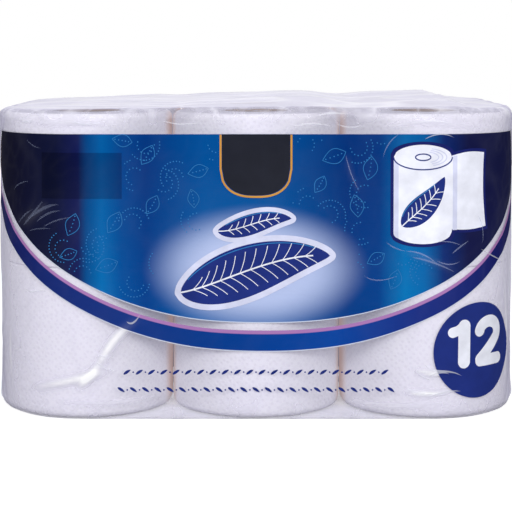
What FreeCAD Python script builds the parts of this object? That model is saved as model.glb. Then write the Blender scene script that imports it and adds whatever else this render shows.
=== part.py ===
import FreeCAD, Part
import math
import os
import Sketcher

# Twelve rolls of toilet paper in a wrap of printed clear film.
# The rolls stand on end in two layers, three across and two deep, each wound on its cardboard core.
# One sheet of film goes round them. Under the pack its edges lap, and at each end of the pack it is
# tucked in, folded over from below and above and heat sealed.
# Frame: +Z is up, the printed front faces -Y, and the origin is the middle of the underside.

# Driving sizes, in millimetres and degrees
SIZES = {
    "columns": (3, "rolls across the front"),
    "rows": (2, "rolls from front to back"),
    "layers": (2, "rolls on top of each other"),
    "roll_diameter": (118.0, "over the outermost turn of a roll"),
    "roll_height": (99.5, "width of the tissue web"),
    "tail_step": (0.5, "rise where the last sheet ends on the outermost turn"),
    "tail_turn": (77.0, "how much further round the tail of each next roll lies"),
    "column_squeeze": (3.5, "how much nearer than a diameter two rolls side by side are pressed"),
    "row_squeeze": (2.5, "how much nearer than a diameter a front and a back roll are pressed"),
    "core_diameter": (43.0, "outside of the cardboard core"),
    "core_wall": (1.0, "wound board of the core"),
    "core_sides": (24, "flats that stand in for the round of a core and of its bore"),
    "core_clearance": (0.1, "between the core and the first turn"),
    "film_wall": (0.35, "one layer of film"),
    "side_clearance": (0.4, "between the outermost turns and the film round them"),
    "base_clearance": (0.3, "between the lowest roll ends and the long seal under them"),
    "headroom": (4.8, "between the highest roll ends and the film's rim over the top edges"),
    "crown_rise": (5.5, "how much higher than the rim the loose film stands"),
    "crown_run": (50.0, "how far in from the sides the loose film comes to its full height"),
    "shoulder_chamfer": (4.6, "crease of the film over the top edges"),
    "heel_chamfer": (0.3, "crease of the film round the bottom edges"),
    "flap_root": (176.0, "width of an end flap where it folds over"),
    "flap_tip": (34.0, "width of an end flap at its free edge"),
    "flap_lap": (22.0, "height of the band where the two end flaps overlap and are sealed"),
    "long_seal_width": (18.0, "overlap of the sheet's edges under the pack"),
    "long_seal_rise": (0.2, "height of the inner edge of that overlap"),
}

# Lengths that follow from the driving sizes, as expressions of the sheet
ROLL_RADIUS = "sizes.roll_diameter / 2"
COLUMN_PITCH = "(sizes.roll_diameter - sizes.column_squeeze)"
ROW_PITCH = "(sizes.roll_diameter - sizes.row_squeeze)"
FILM_GAP = "(sizes.side_clearance + sizes.film_wall)"
CORNER_RADIUS = f"({ROLL_RADIUS} + {FILM_GAP})"
PACK_WIDTH = f"((sizes.columns - 1) * {COLUMN_PITCH} + 2 * {CORNER_RADIUS})"
PACK_DEPTH = f"((sizes.rows - 1) * {ROW_PITCH} + 2 * {CORNER_RADIUS})"
ROLLS_BOTTOM = "(sizes.film_wall + sizes.long_seal_rise + sizes.base_clearance)"
ROLLS_TOP = f"({ROLLS_BOTTOM} + sizes.layers * sizes.roll_height)"
EDGE_HEIGHT = f"({ROLLS_TOP} + sizes.headroom + sizes.film_wall)"
CROWN_HEIGHT = f"({EDGE_HEIGHT} + sizes.crown_rise)"
FLAP_TOP = f"({EDGE_HEIGHT} - sizes.shoulder_chamfer)"
LAP_MIDDLE = f"({EDGE_HEIGHT} / 2)"
LAP_BOTTOM = f"({LAP_MIDDLE} - sizes.flap_lap / 2)"
LAP_TOP = f"({LAP_MIDDLE} + sizes.flap_lap / 2)"

# Points and axes of a sketch, as its constraints number them
START, END, CENTRE = range(1, 4)
ORIGIN = (-1, START)
X_AXIS, Y_AXIS = -1, -2

# How far an edge may stray from a level and still lie flat at it
FLATNESS = 1e-4

doc = FreeCAD.newDocument("toilet_paper_roll_pack")


def make_sheet():
    """Put the driving sizes in a spreadsheet, one a row, each with its alias and its meaning."""
    sheet = doc.addObject("Spreadsheet::Sheet", "sizes")
    for row, (alias, (value, meaning)) in enumerate(SIZES.items(), start=1):
        sheet.set(f"A{row}", alias)
        sheet.set(f"B{row}", str(value))
        sheet.set(f"C{row}", meaning)
        sheet.setAlias(f"B{row}", alias)
    doc.recompute()


def bind(item, expressions):
    """Tie properties of an object to the sheet."""
    for target, expression in expressions.items():
        item.setExpression(target, expression)


def value_of(expression):
    """The present value of an expression of the sheet."""
    return float(doc.getObject("sizes").evalExpression(expression))


def constrain(sketch, relations, dimensions):
    """Fix a sketch by its geometric relations and by named dimensions tied to the sheet."""
    for relation in relations:
        sketch.addConstraint(Sketcher.Constraint(*relation))
    for name, (relation, expression) in dimensions.items():
        index = sketch.addConstraint(Sketcher.Constraint(*relation, value_of(expression)))
        sketch.renameConstraint(index, name)
        sketch.setExpression(f"Constraints.{name}", expression)


def segment(start, end):
    """A straight edge in a sketch, from start to end."""
    return Part.LineSegment(FreeCAD.Vector(*start, 0), FreeCAD.Vector(*end, 0))


def arc(centre, radius, start_angle, end_angle):
    """An arc in a sketch, counter-clockwise between two angles in degrees."""
    circle = Part.Circle(FreeCAD.Vector(*centre, 0), FreeCAD.Vector(0, 0, 1), radius)
    return Part.ArcOfCircle(circle, math.radians(start_angle), math.radians(end_angle))


def sketch_on(body, name, role):
    """Add a sketch to a body, in one of the body's own origin planes."""
    sketch = body.newObject("Sketcher::SketchObject", name)
    plane = next(feature for feature in body.Origin.OriginFeatures if feature.Role == role)
    sketch.AttachmentSupport = [(plane, "")]
    sketch.MapMode = "FlatFace"
    return sketch


def rounded_rectangle(sketch, width, depth, radius):
    """Draw the plan of the film: straight between the corner rolls and round about them."""
    a = value_of(width) / 2
    b = value_of(depth) / 2
    r = value_of(radius)
    sketch.addGeometry(segment((r - a, -b), (a - r, -b)))
    sketch.addGeometry(segment((a, r - b), (a, b - r)))
    sketch.addGeometry(segment((a - r, b), (r - a, b)))
    sketch.addGeometry(segment((-a, b - r), (-a, r - b)))
    sketch.addGeometry(arc((a - r, r - b), r, 270, 360))
    sketch.addGeometry(arc((a - r, b - r), r, 0, 90))
    sketch.addGeometry(arc((r - a, b - r), r, 90, 180))
    sketch.addGeometry(arc((r - a, r - b), r, 180, 270))
    relations = []
    for side in range(4):
        corner = side + 4
        relations.append(("Tangent", side, END, corner, START))
        relations.append(("Tangent", corner, END, (side + 1) % 4, START))
    relations += [("Horizontal", 0), ("Vertical", 1), ("Horizontal", 2), ("Vertical", 3)]
    relations += [("Equal", 4, 5), ("Equal", 5, 6), ("Equal", 6, 7)]
    relations.append(("Symmetric", 0, START, 2, START, *ORIGIN))
    dimensions = {
        "width": (("DistanceX", 3, START, 1, START), width),
        "depth": (("DistanceY", 0, START, 2, START), depth),
        "corner": (("Radius", 4), radius),
    }
    constrain(sketch, relations, dimensions)


def trapezium(sketch, low_width, high_width, low, high):
    """Draw a four-sided outline, even about the upright axis, with level lower and upper edges."""
    p = value_of(low_width) / 2
    q = value_of(high_width) / 2
    y = value_of(low)
    z = value_of(high)
    sketch.addGeometry(segment((-p, y), (p, y)))
    sketch.addGeometry(segment((p, y), (q, z)))
    sketch.addGeometry(segment((q, z), (-q, z)))
    sketch.addGeometry(segment((-q, z), (-p, y)))
    relations = [("Coincident", edge, END, (edge + 1) % 4, START) for edge in range(4)]
    relations.append(("Symmetric", 0, START, 0, END, Y_AXIS))
    relations.append(("Symmetric", 2, START, 2, END, Y_AXIS))
    dimensions = {
        "low_width": (("DistanceX", 0, START, 0, END), low_width),
        "high_width": (("DistanceX", 2, END, 2, START), high_width),
        "low": (("DistanceY", *ORIGIN, 0, START), low),
        "high": (("DistanceY", *ORIGIN, 2, START), high),
    }
    constrain(sketch, relations, dimensions)


def edges_at(feature, height):
    """Names of a feature's edges that lie flat at a height given as an expression."""
    level = value_of(height)
    found = []
    for number, edge in enumerate(feature.Shape.Edges, start=1):
        box = edge.BoundBox
        if abs(box.ZMin - level) + abs(box.ZMax - level) < FLATNESS:
            found.append(f"Edge{number}")
    return found


def bevel(body, name, height, inward, down):
    """Chamfer the edges at a height, so far inward along the level face and so far down the side."""
    before = body.Tip
    chamfer = body.newObject("PartDesign::Chamfer", f"{body.Name}_{name}")
    chamfer.Base = (before, edges_at(before, height))
    chamfer.ChamferType = "Two distances"
    bind(chamfer, {"Size": down, "Size2": inward})
    body.Tip = chamfer
    doc.recompute()


def wrap_body(name, inset):
    """Make the wrap's closed form, drawn in from its outside by an inset all over.

    The plan is raised to the crown's height, the crown slopes down to the rim on all sides, and the
    film creases over the rim. A slanted crease moves by less than the inset, so as to keep the wall.
    """
    body = doc.addObject("PartDesign::Body", name)
    plan = sketch_on(body, f"{name}_plan", "XY_Plane")
    plan.setExpression("AttachmentOffset.Base.z", inset)
    rounded_rectangle(
        plan,
        f"{PACK_WIDTH} - 2 * {inset}",
        f"{PACK_DEPTH} - 2 * {inset}",
        f"{CORNER_RADIUS} - {inset}",
    )
    block = body.newObject("PartDesign::Pad", f"{name}_block")
    block.Profile = plan
    block.setExpression("Length", f"{CROWN_HEIGHT} - 2 * {inset}")
    body.Tip = block
    doc.recompute()
    bevel(body, "crown", f"{CROWN_HEIGHT} - {inset}", "sizes.crown_run", "sizes.crown_rise")
    crease = f"sizes.shoulder_chamfer - (2 - sqrt(2)) * {inset}"
    bevel(body, "shoulder", f"{EDGE_HEIGHT} - {inset}", crease, crease)
    return body


def end_fold(name, low_width, high_width, low, high, sheets):
    """Make a fold that lies on both ends of the pack, so many sheets of film thick.

    The fold is the plan raised by that thickness, kept inside the fold's outline seen from the end.
    """
    rise = f"{sheets} * sizes.film_wall"
    skin = doc.addObject("PartDesign::Body", f"{name}_skin")
    plan = sketch_on(skin, f"{name}_plan", "XY_Plane")
    rounded_rectangle(
        plan,
        f"{PACK_WIDTH} + 2 * {rise}",
        f"{PACK_DEPTH} + 2 * {rise}",
        f"{CORNER_RADIUS} + {rise}",
    )
    raised = skin.newObject("PartDesign::Pad", f"{name}_raised")
    raised.Profile = plan
    raised.setExpression("Length", FLAP_TOP)
    outline = doc.addObject("PartDesign::Body", f"{name}_outline")
    drawn = sketch_on(outline, f"{name}_drawn", "YZ_Plane")
    trapezium(drawn, low_width, high_width, low, high)
    through = outline.newObject("PartDesign::Pad", f"{name}_through")
    through.Profile = drawn
    through.SideType = "Symmetric"
    through.setExpression("Length", f"2 * {PACK_WIDTH}")
    fold = doc.addObject("Part::Common", name)
    fold.Base = skin
    fold.Tool = outline
    return fold


def make_wrap():
    """Make the film wrap: its hollow form, the folds on its two ends and the long seal under it."""
    outside = wrap_body("wrap_outside", "0")
    bevel(outside, "heel", "0", "sizes.heel_chamfer", "sizes.heel_chamfer")
    inside = wrap_body("wrap_inside", "sizes.film_wall")
    narrowing = f"(sizes.flap_root - sizes.flap_tip) / ({LAP_TOP} - sizes.heel_chamfer)"
    lap_root = f"(sizes.flap_tip + sizes.flap_lap * {narrowing})"
    folds = [
        end_fold("lower_flap", "sizes.flap_root", "sizes.flap_tip", "sizes.heel_chamfer", LAP_TOP, 1),
        end_fold("upper_flap", "sizes.flap_tip", "sizes.flap_root", LAP_BOTTOM, FLAP_TOP, 1),
        end_fold("lap_seal", "sizes.flap_tip", lap_root, LAP_BOTTOM, LAP_TOP, 2),
    ]
    folded = doc.addObject("Part::MultiFuse", "wrap_folded")
    folded.Shapes = [outside, *folds]
    hollow = doc.addObject("Part::Cut", "wrap_hollow")
    hollow.Base = folded
    hollow.Tool = inside
    long_seal = doc.addObject("Part::Box", "long_seal")
    bind(long_seal, {
        "Length": f"{PACK_WIDTH} - sizes.film_wall",
        "Width": "sizes.long_seal_width",
        "Height": "sizes.film_wall / 2 + sizes.long_seal_rise",
        "Placement.Base.x": f"(sizes.film_wall - {PACK_WIDTH}) / 2",
        "Placement.Base.y": "-sizes.long_seal_width / 2",
        "Placement.Base.z": "sizes.film_wall / 2",
    })
    wrap = doc.addObject("Part::MultiFuse", "film_wrap")
    wrap.Shapes = [hollow, long_seal]
    wrap.Refine = True
    return wrap


def turn_outline(name):
    """Draw a roll from above: two half turns about centres half a step apart, and the tail's edge.

    The second half turn is wider by half a step on each side, so the two meet smoothly opposite the
    tail, and at the tail the outermost turn stands a step proud of the one below it.
    """
    sketch = doc.addObject("Sketcher::SketchObject", name)
    step = value_of("sizes.tail_step")
    r = value_of(ROLL_RADIUS) - step
    sketch.addGeometry(arc((0, 0), r, 0, 180))
    sketch.addGeometry(arc((step / 2, 0), r + step / 2, 180, 360))
    sketch.addGeometry(segment((r + step, 0), (r, 0)))
    relations = [
        ("Coincident", 0, CENTRE, *ORIGIN),
        ("PointOnObject", 1, CENTRE, X_AXIS),
        ("PointOnObject", 0, START, X_AXIS),
        ("PointOnObject", 0, END, X_AXIS),
        ("PointOnObject", 1, END, X_AXIS),
        ("Coincident", 0, END, 1, START),
        ("Coincident", 1, END, 2, START),
        ("Coincident", 2, END, 0, START),
    ]
    dimensions = {
        "inner_turn": (("Radius", 0), f"{ROLL_RADIUS} - sizes.tail_step"),
        "half_step": (("DistanceX", *ORIGIN, 1, CENTRE), "sizes.tail_step / 2"),
    }
    constrain(sketch, relations, dimensions)
    return sketch


def many_sided(name, radius, centre, bottom):
    """Make an upright many-sided prism, as tall as a roll, for a core's outside, inside or bore."""
    prism = doc.addObject("Part::Prism", name)
    bind(prism, {
        "Polygon": "sizes.core_sides",
        "Circumradius": radius,
        "Height": "sizes.roll_height",
        "Placement.Base.x": centre[0],
        "Placement.Base.y": centre[1],
        "Placement.Base.z": bottom,
    })
    return prism


def side_of_cell(place, count, pitch):
    """Where a roll's cell starts and how far it reaches, from its axis.

    Towards a neighbour the cell ends half a pitch away, where the two rolls press each other flat.
    Towards the film it ends past the roll.
    """
    start = f"{pitch} / 2" if place > 0 else "sizes.roll_diameter"
    end = f"{pitch} / 2" if place < count - 1 else "sizes.roll_diameter"
    return start, f"{start} + {end}"


def make_roll(address, centre, bottom, order):
    """Make one tissue roll: its wound outline, pressed flat by its neighbours, with its bore."""
    layer, row, column = address
    tag = f"{layer + 1}_{row + 1}_{column + 1}"
    outline = turn_outline(f"turns_{tag}")
    bind(outline, {
        "Placement.Base.x": centre[0],
        "Placement.Base.y": centre[1],
        "Placement.Base.z": bottom,
        "Placement.Rotation.Angle": f"{order} * sizes.tail_turn",
    })
    wound = doc.addObject("Part::Extrusion", f"wound_{tag}")
    wound.Base = outline
    wound.DirMode = "Custom"
    wound.Dir = FreeCAD.Vector(0, 0, 1)
    wound.Solid = True
    wound.setExpression("LengthFwd", "sizes.roll_height")
    cell = doc.addObject("Part::Box", f"cell_{tag}")
    before, width = side_of_cell(column, COLUMNS, COLUMN_PITCH)
    below, depth = side_of_cell(row, ROWS, ROW_PITCH)
    bind(cell, {
        "Length": width,
        "Width": depth,
        "Height": "sizes.roll_height",
        "Placement.Base.x": f"{centre[0]} - {before}",
        "Placement.Base.y": f"{centre[1]} - {below}",
        "Placement.Base.z": bottom,
    })
    pressed = doc.addObject("Part::Common", f"pressed_{tag}")
    pressed.Base = wound
    pressed.Tool = cell
    bore_radius = "sizes.core_diameter / 2 + sizes.core_clearance"
    bore = many_sided(f"bore_{tag}", bore_radius, centre, bottom)
    roll = doc.addObject("Part::Cut", f"tissue_roll_{tag}")
    roll.Base = pressed
    roll.Tool = bore
    return roll


def make_core(address, centre, bottom):
    """Make one cardboard core, as long as the tissue web that is wound on it."""
    layer, row, column = address
    tag = f"{layer + 1}_{row + 1}_{column + 1}"
    radius = "sizes.core_diameter / 2"
    board = many_sided(f"board_{tag}", radius, centre, bottom)
    hole = many_sided(f"hole_{tag}", f"{radius} - sizes.core_wall", centre, bottom)
    core = doc.addObject("Part::Cut", f"cardboard_core_{tag}")
    core.Base = board
    core.Tool = hole
    return core


def make_rolls():
    """Make every roll and its core, layer by layer, row by row and from left to right."""
    made = []
    for order in range(LAYERS * ROWS * COLUMNS):
        layer, place = divmod(order, ROWS * COLUMNS)
        row, column = divmod(place, COLUMNS)
        address = (layer, row, column)
        centre = (
            f"({column} - (sizes.columns - 1) / 2) * {COLUMN_PITCH}",
            f"({row} - (sizes.rows - 1) / 2) * {ROW_PITCH}",
        )
        bottom = f"{ROLLS_BOTTOM} + {layer} * sizes.roll_height"
        made.append(make_roll(address, centre, bottom, order))
        made.append(make_core(address, centre, bottom))
    return made


def write_parts(pieces):
    """Check every object of the document, then write each piece to its own STEP file."""
    doc.recompute()
    for item in doc.Objects:
        if "Invalid" in item.State or "Error" in item.State:
            raise RuntimeError(f"{item.Name} could not be made: {item.State}")
    for piece in pieces:
        if piece.Shape.isNull() or not piece.Shape.isValid() or len(piece.Shape.Solids) != 1:
            raise RuntimeError(f"{piece.Label} is not one valid solid")
    os.makedirs("parts", exist_ok=True)
    for piece in pieces:
        piece.Shape.exportStep(f"parts/{piece.Label}.step")


make_sheet()
COLUMNS = int(value_of("sizes.columns"))
ROWS = int(value_of("sizes.rows"))
LAYERS = int(value_of("sizes.layers"))
write_parts([make_wrap(), *make_rolls()])
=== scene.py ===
"""Twelve rolls of toilet paper in one printed film wrap, dressed for the render."""
import logging
import math
from dataclasses import dataclass, field
from enum import Enum

import bpy
import numpy as np
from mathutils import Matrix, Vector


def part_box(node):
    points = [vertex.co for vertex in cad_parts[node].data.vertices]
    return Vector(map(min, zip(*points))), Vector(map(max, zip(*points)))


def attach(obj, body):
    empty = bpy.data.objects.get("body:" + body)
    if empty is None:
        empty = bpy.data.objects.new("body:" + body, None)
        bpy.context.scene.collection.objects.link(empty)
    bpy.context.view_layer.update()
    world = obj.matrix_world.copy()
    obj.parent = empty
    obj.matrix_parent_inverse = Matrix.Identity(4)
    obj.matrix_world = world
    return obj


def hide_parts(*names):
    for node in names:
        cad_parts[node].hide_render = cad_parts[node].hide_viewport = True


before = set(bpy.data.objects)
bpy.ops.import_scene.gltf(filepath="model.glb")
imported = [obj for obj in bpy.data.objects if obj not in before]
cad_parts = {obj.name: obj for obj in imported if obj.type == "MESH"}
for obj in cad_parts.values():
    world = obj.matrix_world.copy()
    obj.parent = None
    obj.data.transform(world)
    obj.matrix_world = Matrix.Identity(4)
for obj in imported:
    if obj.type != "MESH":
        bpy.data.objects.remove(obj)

LOG = logging.getLogger("roll_pack")
MM = 0.001


# ---------------------------------------------------------------- meshes

def grid_faces(rows: int, columns: int, closed_rows: bool = False, closed_columns: bool = False,
               first: int = 0) -> np.ndarray:
    """Quads of a grid whose points are numbered row by row.

    Args:
        rows: points down the grid.
        columns: points across it.
        closed_rows: the last row joins the first.
        closed_columns: the last column joins the first.
        first: number of the grid's first point.

    Returns:
        One row of four point numbers a face, turning from a row towards the next column.
    """
    numbers = np.arange(rows * columns).reshape(rows, columns) + first
    if closed_rows:
        numbers = np.vstack([numbers, numbers[:1]])
    if closed_columns:
        numbers = np.hstack([numbers, numbers[:, :1]])
    corners = (numbers[:-1, :-1], numbers[:-1, 1:], numbers[1:, 1:], numbers[1:, :-1])
    return np.stack([corner.ravel() for corner in corners], axis=1)


def make_piece(name: str, points: np.ndarray, faces: np.ndarray,
               materials: list[bpy.types.Material]) -> bpy.types.Object:
    """Put points and quads into a smooth mesh object that sits at the origin.

    Args:
        name: the piece's name.
        points: one row of x, y and z a point, in metres.
        faces: one row of four point numbers a face.
        materials: the piece's material slots.

    Returns:
        The new object.
    """
    mesh = bpy.data.meshes.new(name)
    mesh.vertices.add(len(points))
    mesh.vertices.foreach_set("co", np.asarray(points, np.float32).ravel())
    mesh.loops.add(faces.size)
    mesh.loops.foreach_set("vertex_index", faces.astype(np.int32).ravel())
    mesh.polygons.add(len(faces))
    mesh.polygons.foreach_set("loop_start", np.arange(0, faces.size, 4, dtype=np.int32))
    mesh.polygons.foreach_set("use_smooth", np.ones(len(faces), bool))
    mesh.update(calc_edges=True)
    mesh.validate()
    for material in materials:
        mesh.materials.append(material)
    piece = bpy.data.objects.new(name, mesh)
    bpy.context.scene.collection.objects.link(piece)
    return piece


def add_measure(piece: bpy.types.Object, name: str, values: np.ndarray) -> None:
    """Store one number a point on the piece, for its material to read.

    Args:
        piece: the mesh object.
        name: the attribute's name.
        values: one number a point.
    """
    attribute = piece.data.attributes.new(name, "FLOAT", "POINT")
    attribute.data.foreach_set("value", np.asarray(values, np.float32).ravel())


def weld_columns(faces: np.ndarray, columns: int) -> np.ndarray:
    """Join the last column of a grid's points to its first.

    Args:
        faces: quads of a grid that is one column wider than the welded one.
        columns: columns of the welded grid.

    Returns:
        The same quads with the welded grid's point numbers.
    """
    row, column = np.divmod(faces, columns + 1)
    return row * columns + column % columns


def add_flat_map(piece: bpy.types.Object, name: str, across: np.ndarray, along: np.ndarray,
                 corners: np.ndarray | None = None) -> None:
    """Give the piece a UV map from two numbers a place.

    Args:
        piece: the mesh object.
        name: the map's name.
        across: the map's first number for each place.
        along: its second.
        corners: the place of every face's corner, where it isn't the corner's own point.
    """
    if corners is None:
        corners = np.empty(len(piece.data.loops), np.int32)
        piece.data.loops.foreach_get("vertex_index", corners)
    layer = piece.data.uv_layers.new(name=name)
    layer.data.foreach_set("uv", np.stack([across, along], 1)[corners].astype(np.float32).ravel())


def crinkle(points: np.ndarray, spacing: float, seed: int, waves: int = 14) -> np.ndarray:
    """Uneven folds of about one spacing, between -1 and 1.

    It is the mean of plane waves of seeded directions, each with its phase bent by the one before,
    scaled up to about one.

    Args:
        points: one row of x, y and z a point.
        spacing: usual distance between two folds, in metres.
        seed: which set of waves.
        waves: how many are added.

    Returns:
        One number a point.
    """
    draw = np.random.default_rng(seed)
    directions = draw.normal(size=(waves, 3))
    directions /= np.linalg.norm(directions, axis=1, keepdims=True)
    turns = 2.0 * math.pi / (spacing * draw.uniform(0.7, 1.7, waves))
    phases = points @ (directions * turns[:, None]).T + draw.uniform(0, 2 * math.pi, waves)
    bent = np.sin(phases + 0.9 * np.sin(0.6 * np.roll(phases, 1, axis=1)))
    return np.clip(bent.mean(axis=1) * math.sqrt(waves) * 0.75, -1.0, 1.0)


def sharp_folds(points: np.ndarray, spacing: float, seed: int) -> np.ndarray:
    """Narrow ridges between 0 and 1: one less the size of the crinkle, cubed, with rounded crests.

    Args:
        points: one row of x, y and z a point.
        spacing: usual distance between two ridges, in metres.
        seed: which set of waves.

    Returns:
        One number a point.
    """
    size = np.sqrt(crinkle(points, spacing, seed) ** 2 + 0.01)
    return np.clip(1.08 - size, 0.0, 1.0) ** 3


def bump_at(values: np.ndarray, middle: float, width: float) -> np.ndarray:
    """A bell that is one at its middle and falls to a third one width away."""
    return np.exp(-((values - middle) / width) ** 2)


def curve_through(points: list[tuple[float, float]], count: int) -> np.ndarray:
    """Points of the Bezier curve with these control points, in the same units.

    Args:
        points: two to four control points.
        count: how many points come back.

    Returns:
        One row of two numbers a point.
    """
    share = np.linspace(0, 1, count)[:, None]
    level = [np.broadcast_to(np.array(point, float), (count, 2)) for point in points]
    while len(level) > 1:
        level = [(1 - share) * one + share * other for one, other in zip(level, level[1:])]
    return level[0]


def headings(path: np.ndarray) -> tuple[np.ndarray, np.ndarray]:
    """Unit directions along a flat path, and to its left, at each of its points."""
    along = np.gradient(path, axis=0)
    along /= np.linalg.norm(along, axis=1)[:, None]
    return along, np.stack([-along[:, 1], along[:, 0]], 1)


def strip_between(across: np.ndarray, foot: np.ndarray, crown: np.ndarray, rows: int) -> np.ndarray:
    """Grid whose columns run straight up from a foot line to a crown line.

    Args:
        across: first number of each column, or of each point.
        foot: second number at the columns' feet.
        crown: second number at their tops.
        rows: points up a column.

    Returns:
        A grid of two numbers a point.
    """
    share = np.linspace(0, 1, rows)[:, None]
    return np.stack([across + 0 * share, (1 - share) * foot + share * crown], -1)


# ---------------------------------------------------------------- finishes

# Film over ink: only the thin coat shines, because the ink lies behind the film.
FILM_GLOSS = {"Roughness": 0.35, "IOR": 1.51, "Specular IOR Level": 0.0, "Coat Weight": 0.18,
              "Coat Roughness": 0.07}


def linear(colour: str) -> tuple[float, float, float, float]:
    """Turn an sRGB colour written as hex into linear red, green, blue and one."""
    parts = [int(colour[start:start + 2], 16) / 255 for start in (1, 3, 5)]
    turned = [part / 12.92 if part <= 0.04045 else ((part + 0.055) / 1.055) ** 2.4 for part in parts]
    return (turned[0], turned[1], turned[2], 1.0)


def set_inputs(tree: bpy.types.NodeTree, node: bpy.types.Node, inputs: dict) -> None:
    """Set or link a node's inputs.

    Args:
        tree: the node tree.
        node: the node.
        inputs: sockets by name or number, each with a number, a hex colour, or an output or a node to
            link from. A node stands for its first output in use.
    """
    for name, value in inputs.items():
        if isinstance(value, bpy.types.Node):
            value = next(output for output in value.outputs if output.enabled)
        if isinstance(value, bpy.types.NodeSocket):
            tree.links.new(value, node.inputs[name])
        else:
            node.inputs[name].default_value = linear(value) if isinstance(value, str) else value


def add_node(tree: bpy.types.NodeTree, kind: str, inputs: dict | None = None,
             **settings: str | float | bool) -> bpy.types.Node:
    """Add a shader node, set its properties, and set or link its inputs.

    Args:
        tree: the node tree.
        kind: Blender's name for the node, less the word ShaderNode.
        inputs: what goes into its sockets, as set_inputs takes it.
        settings: its properties and their values.

    Returns:
        The new node.
    """
    node = tree.nodes.new("ShaderNode" + kind)
    for name, value in settings.items():
        setattr(node, name, value)
    set_inputs(tree, node, inputs or {})
    return node


def new_material(name: str) -> tuple[bpy.types.Material, bpy.types.NodeTree, bpy.types.Node]:
    """Start a node material.

    Args:
        name: the material's name.

    Returns:
        The material, its tree and its Principled node.
    """
    material = bpy.data.materials.new(name)
    material.use_nodes = True
    return material, material.node_tree, material.node_tree.nodes["Principled BSDF"]


def film_relief(tree: bpy.types.NodeTree) -> bpy.types.Node:
    """Relief of thin blown film: long shallow pulls, and a fine crackle of about 3 mm.

    Both are noise on Object coordinates in metres, so that film and ink share them.

    Args:
        tree: the material's node tree.

    Returns:
        The Bump node.
    """
    place = add_node(tree, "TexCoord").outputs["Object"]
    pulled = add_node(tree, "Mapping", {"Vector": place, "Scale": (0.45, 0.45, 1.6)})
    pulls = add_node(tree, "TexNoise",
                     {"Vector": pulled, "Scale": 70.0, "Detail": 3.0, "Distortion": 0.8})
    crackle = add_node(tree, "TexNoise",
                       {"Vector": place, "Scale": 320.0, "Detail": 2.0, "Roughness": 0.6})
    both = add_node(tree, "Math", {0: crackle, 1: 0.16, 2: pulls}, operation="MULTIPLY_ADD")
    return add_node(tree, "Bump", {"Height": both, "Strength": 0.30, "Distance": 0.0009})


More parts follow.
